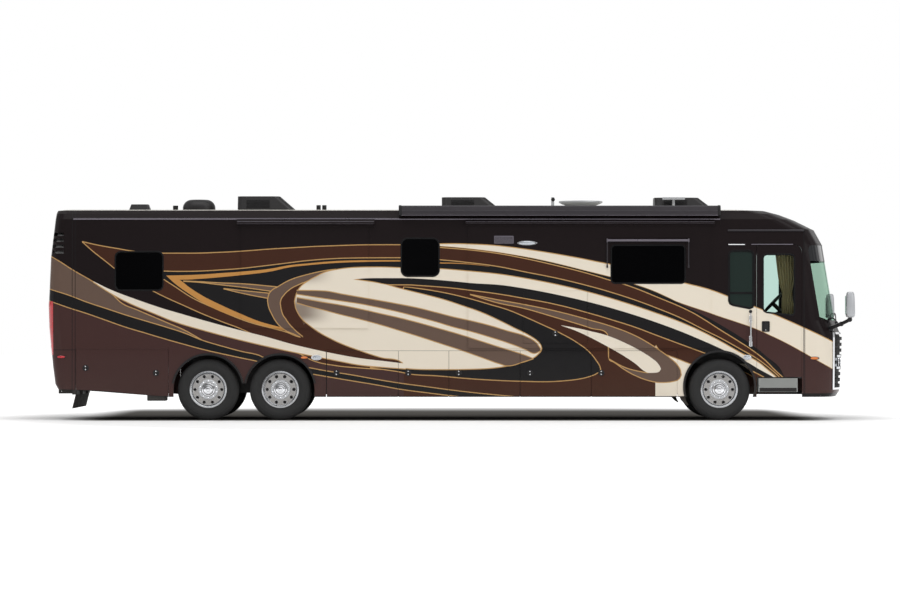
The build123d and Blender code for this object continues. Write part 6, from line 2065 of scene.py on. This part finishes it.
@dataclass
class Nose:
    """Fittings of the nose and tail: lamp bowls, wipers, the windscreen's bar, tail rounds."""

    bow_r: float = 2.950
    reach_rows: tuple[Point2, ...] = (
        (0.484, 6.779), (0.976, 6.807), (1.410, 6.821), (1.697, 6.706), (2.999, 6.489),
    )

    def face(self, y: float, z: float, out: float = 0.0) -> Point3:
        """Finds a point on the bowed nose, moved forward by a distance."""
        rows = self.reach_rows
        reach = rows[-1][1]
        for (z0, x0), (z1, x1) in zip(rows, rows[1:]):
            if z0 <= z <= z1:
                reach = x0 + (x1 - x0) * (z - z0) / (z1 - z0)
        return reach - (self.bow_r - math.sqrt(self.bow_r ** 2 - y * y)) + out, y, z

    def build(self) -> None:
        """Makes the headlamps' bowls, then the other fittings."""
        profile = ((0.002, 0.086), (0.014, 0.086), (0.016, 0.080), (0.012, 0.074),
                   (0.012, 0.050), (0.022, 0.040), (0.026, 0.020), (0.027, 0.004))
        bowls = Mesh("headlamp_bowls")
        for side in (RIGHT, LEFT):
            for y in (0.695, 0.885):
                bowls.faced(profile, self.face(side * y, 0.990), 36)
        bowls.done(Metal.CHROME, "body", smooth=25.0)
        self.wipers()
        self.tail_rounds()

    def wipers(self) -> None:
        """Makes the windscreen's centre bar and two wipers."""
        part = Mesh("windscreen_centre_bar")
        rows = []
        for z in (1.720, 1.950, 2.250, 2.550, 2.850, 2.980):
            x, _, _ = self.face(0.0, z)
            rows.append([(x - 0.004, -0.013, z), (x + 0.001, -0.009, z), (x + 0.001, 0.009, z),
                         (x - 0.004, 0.013, z)])
        part.loft(rows)
        part.done(Plastic.GLOSS_BLACK, "body")
        wipers = Mesh("wipers")
        for side in (RIGHT, LEFT):
            root = self.face(side * 0.480, 1.660, 0.012)
            arm = [root, self.face(side * 0.440, 1.740, 0.026),
                   self.face(side * 0.330, 1.800, 0.030),
                   self.face(side * 0.260, 1.830, 0.022)]
            wipers.tube(arm, 0.009, 10)
            blade = [self.face(side * y, 1.775 + 0.09 * (0.62 - y), 0.010)
                     for y in (0.62, 0.50, 0.38, 0.26, 0.14, 0.05)]
            wipers.tube(blade, 0.0065, 8)
            wipers.faced(((-0.020, 0.026), (0.004, 0.026), (0.012, 0.016)), root, 20)
        wipers.done(Plastic.GRAINED_BLACK, "body")

    def tail_rounds(self) -> None:
        """Makes the tail's round lamps in their black housing."""
        profile = ((0.000, 0.046), (-0.010, 0.046), (-0.016, 0.038), (-0.019, 0.020),
                   (-0.020, 0.004))
        lamps = Mesh("tail_lamp_rounds")
        for side in (RIGHT, LEFT):
            for z in (1.260, 1.480, 1.700, 1.900):
                lamps.faced(profile, (-6.775, side * 1.105, z), 28)
        lamps.done(Plastic.RED_LENS, "body", smooth=40.0)


@dataclass
class Carried:
    """The CAD nodes that stay, with the finish that each gets."""

    frame: dict[str, object]
    finishes: dict[str, object] = field(default_factory=lambda: {
        "chassis_frame": Metal.CHASSIS, "floor_and_bays": Plastic.BAY_COAT,
        "windshield": Pane.SCREEN, "side_glass": Pane.PRIVACY, "entry_door_glass": Pane.CLEAR,
        "front_grille": Plastic.GRILLE_BLACK, "grille_surround": Metal.CHROME,
        "headlamps": Plastic.LAMP_BOWL, "tail_lamps": Plastic.RED_LENS,
        "engine_block": Metal.CAST_IRON, "front_axle": Metal.CAST_IRON,
        "drive_axle": Metal.CAST_IRON, "tag_axle": Metal.CAST_IRON,
        "knuckle_right": Metal.CAST_IRON, "knuckle_left": Metal.CAST_IRON,
        "roof_air_conditioners": Plastic.ROOF_COVER, "roof_vents": Plastic.ROOF_COVER,
        "satellite_dish": Metal.DISH, "patio_awning": Metal.AWNING,
        "dashboard": Plastic.DASH, "steering_wheel": Plastic.DASH, "mud_flap": Plastic.FLAP,
        "arch_trims": Plastic.GRAINED_BLACK, "entry_step": Metal.TREAD_PLATE,
    })

    def dress(self) -> None:
        """Gives every node its finish: wheels polished, tyres rubber, the rest body paint."""
        for name, node in self.frame["nodes"].items():
            if name.startswith("tyre_"):
                finish = Plastic.TYRE
            elif name.startswith("wheel_"):
                finish = Metal.FORGED
            else:
                finish = self.finishes.get(name, PaintScheme())
            node.data.materials.clear()
            node.data.materials.append(finish.material())
            LOG.info("dressed %s", name)


def main() -> None:
    """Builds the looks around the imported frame, piece by piece."""
    logging.basicConfig(level=logging.INFO, format="%(name)s %(message)s")
    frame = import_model()
    Studio().build()
    Carried(frame).dress()
    Wheels().build()
    Windows().build()
    Lamps().build()
    DoorGear().build()
    Trim().build()
    Mirrors().build()
    RoofGear().build()
    Cab().build()
    Nose().build()


if __name__ == "__main__":
    main()
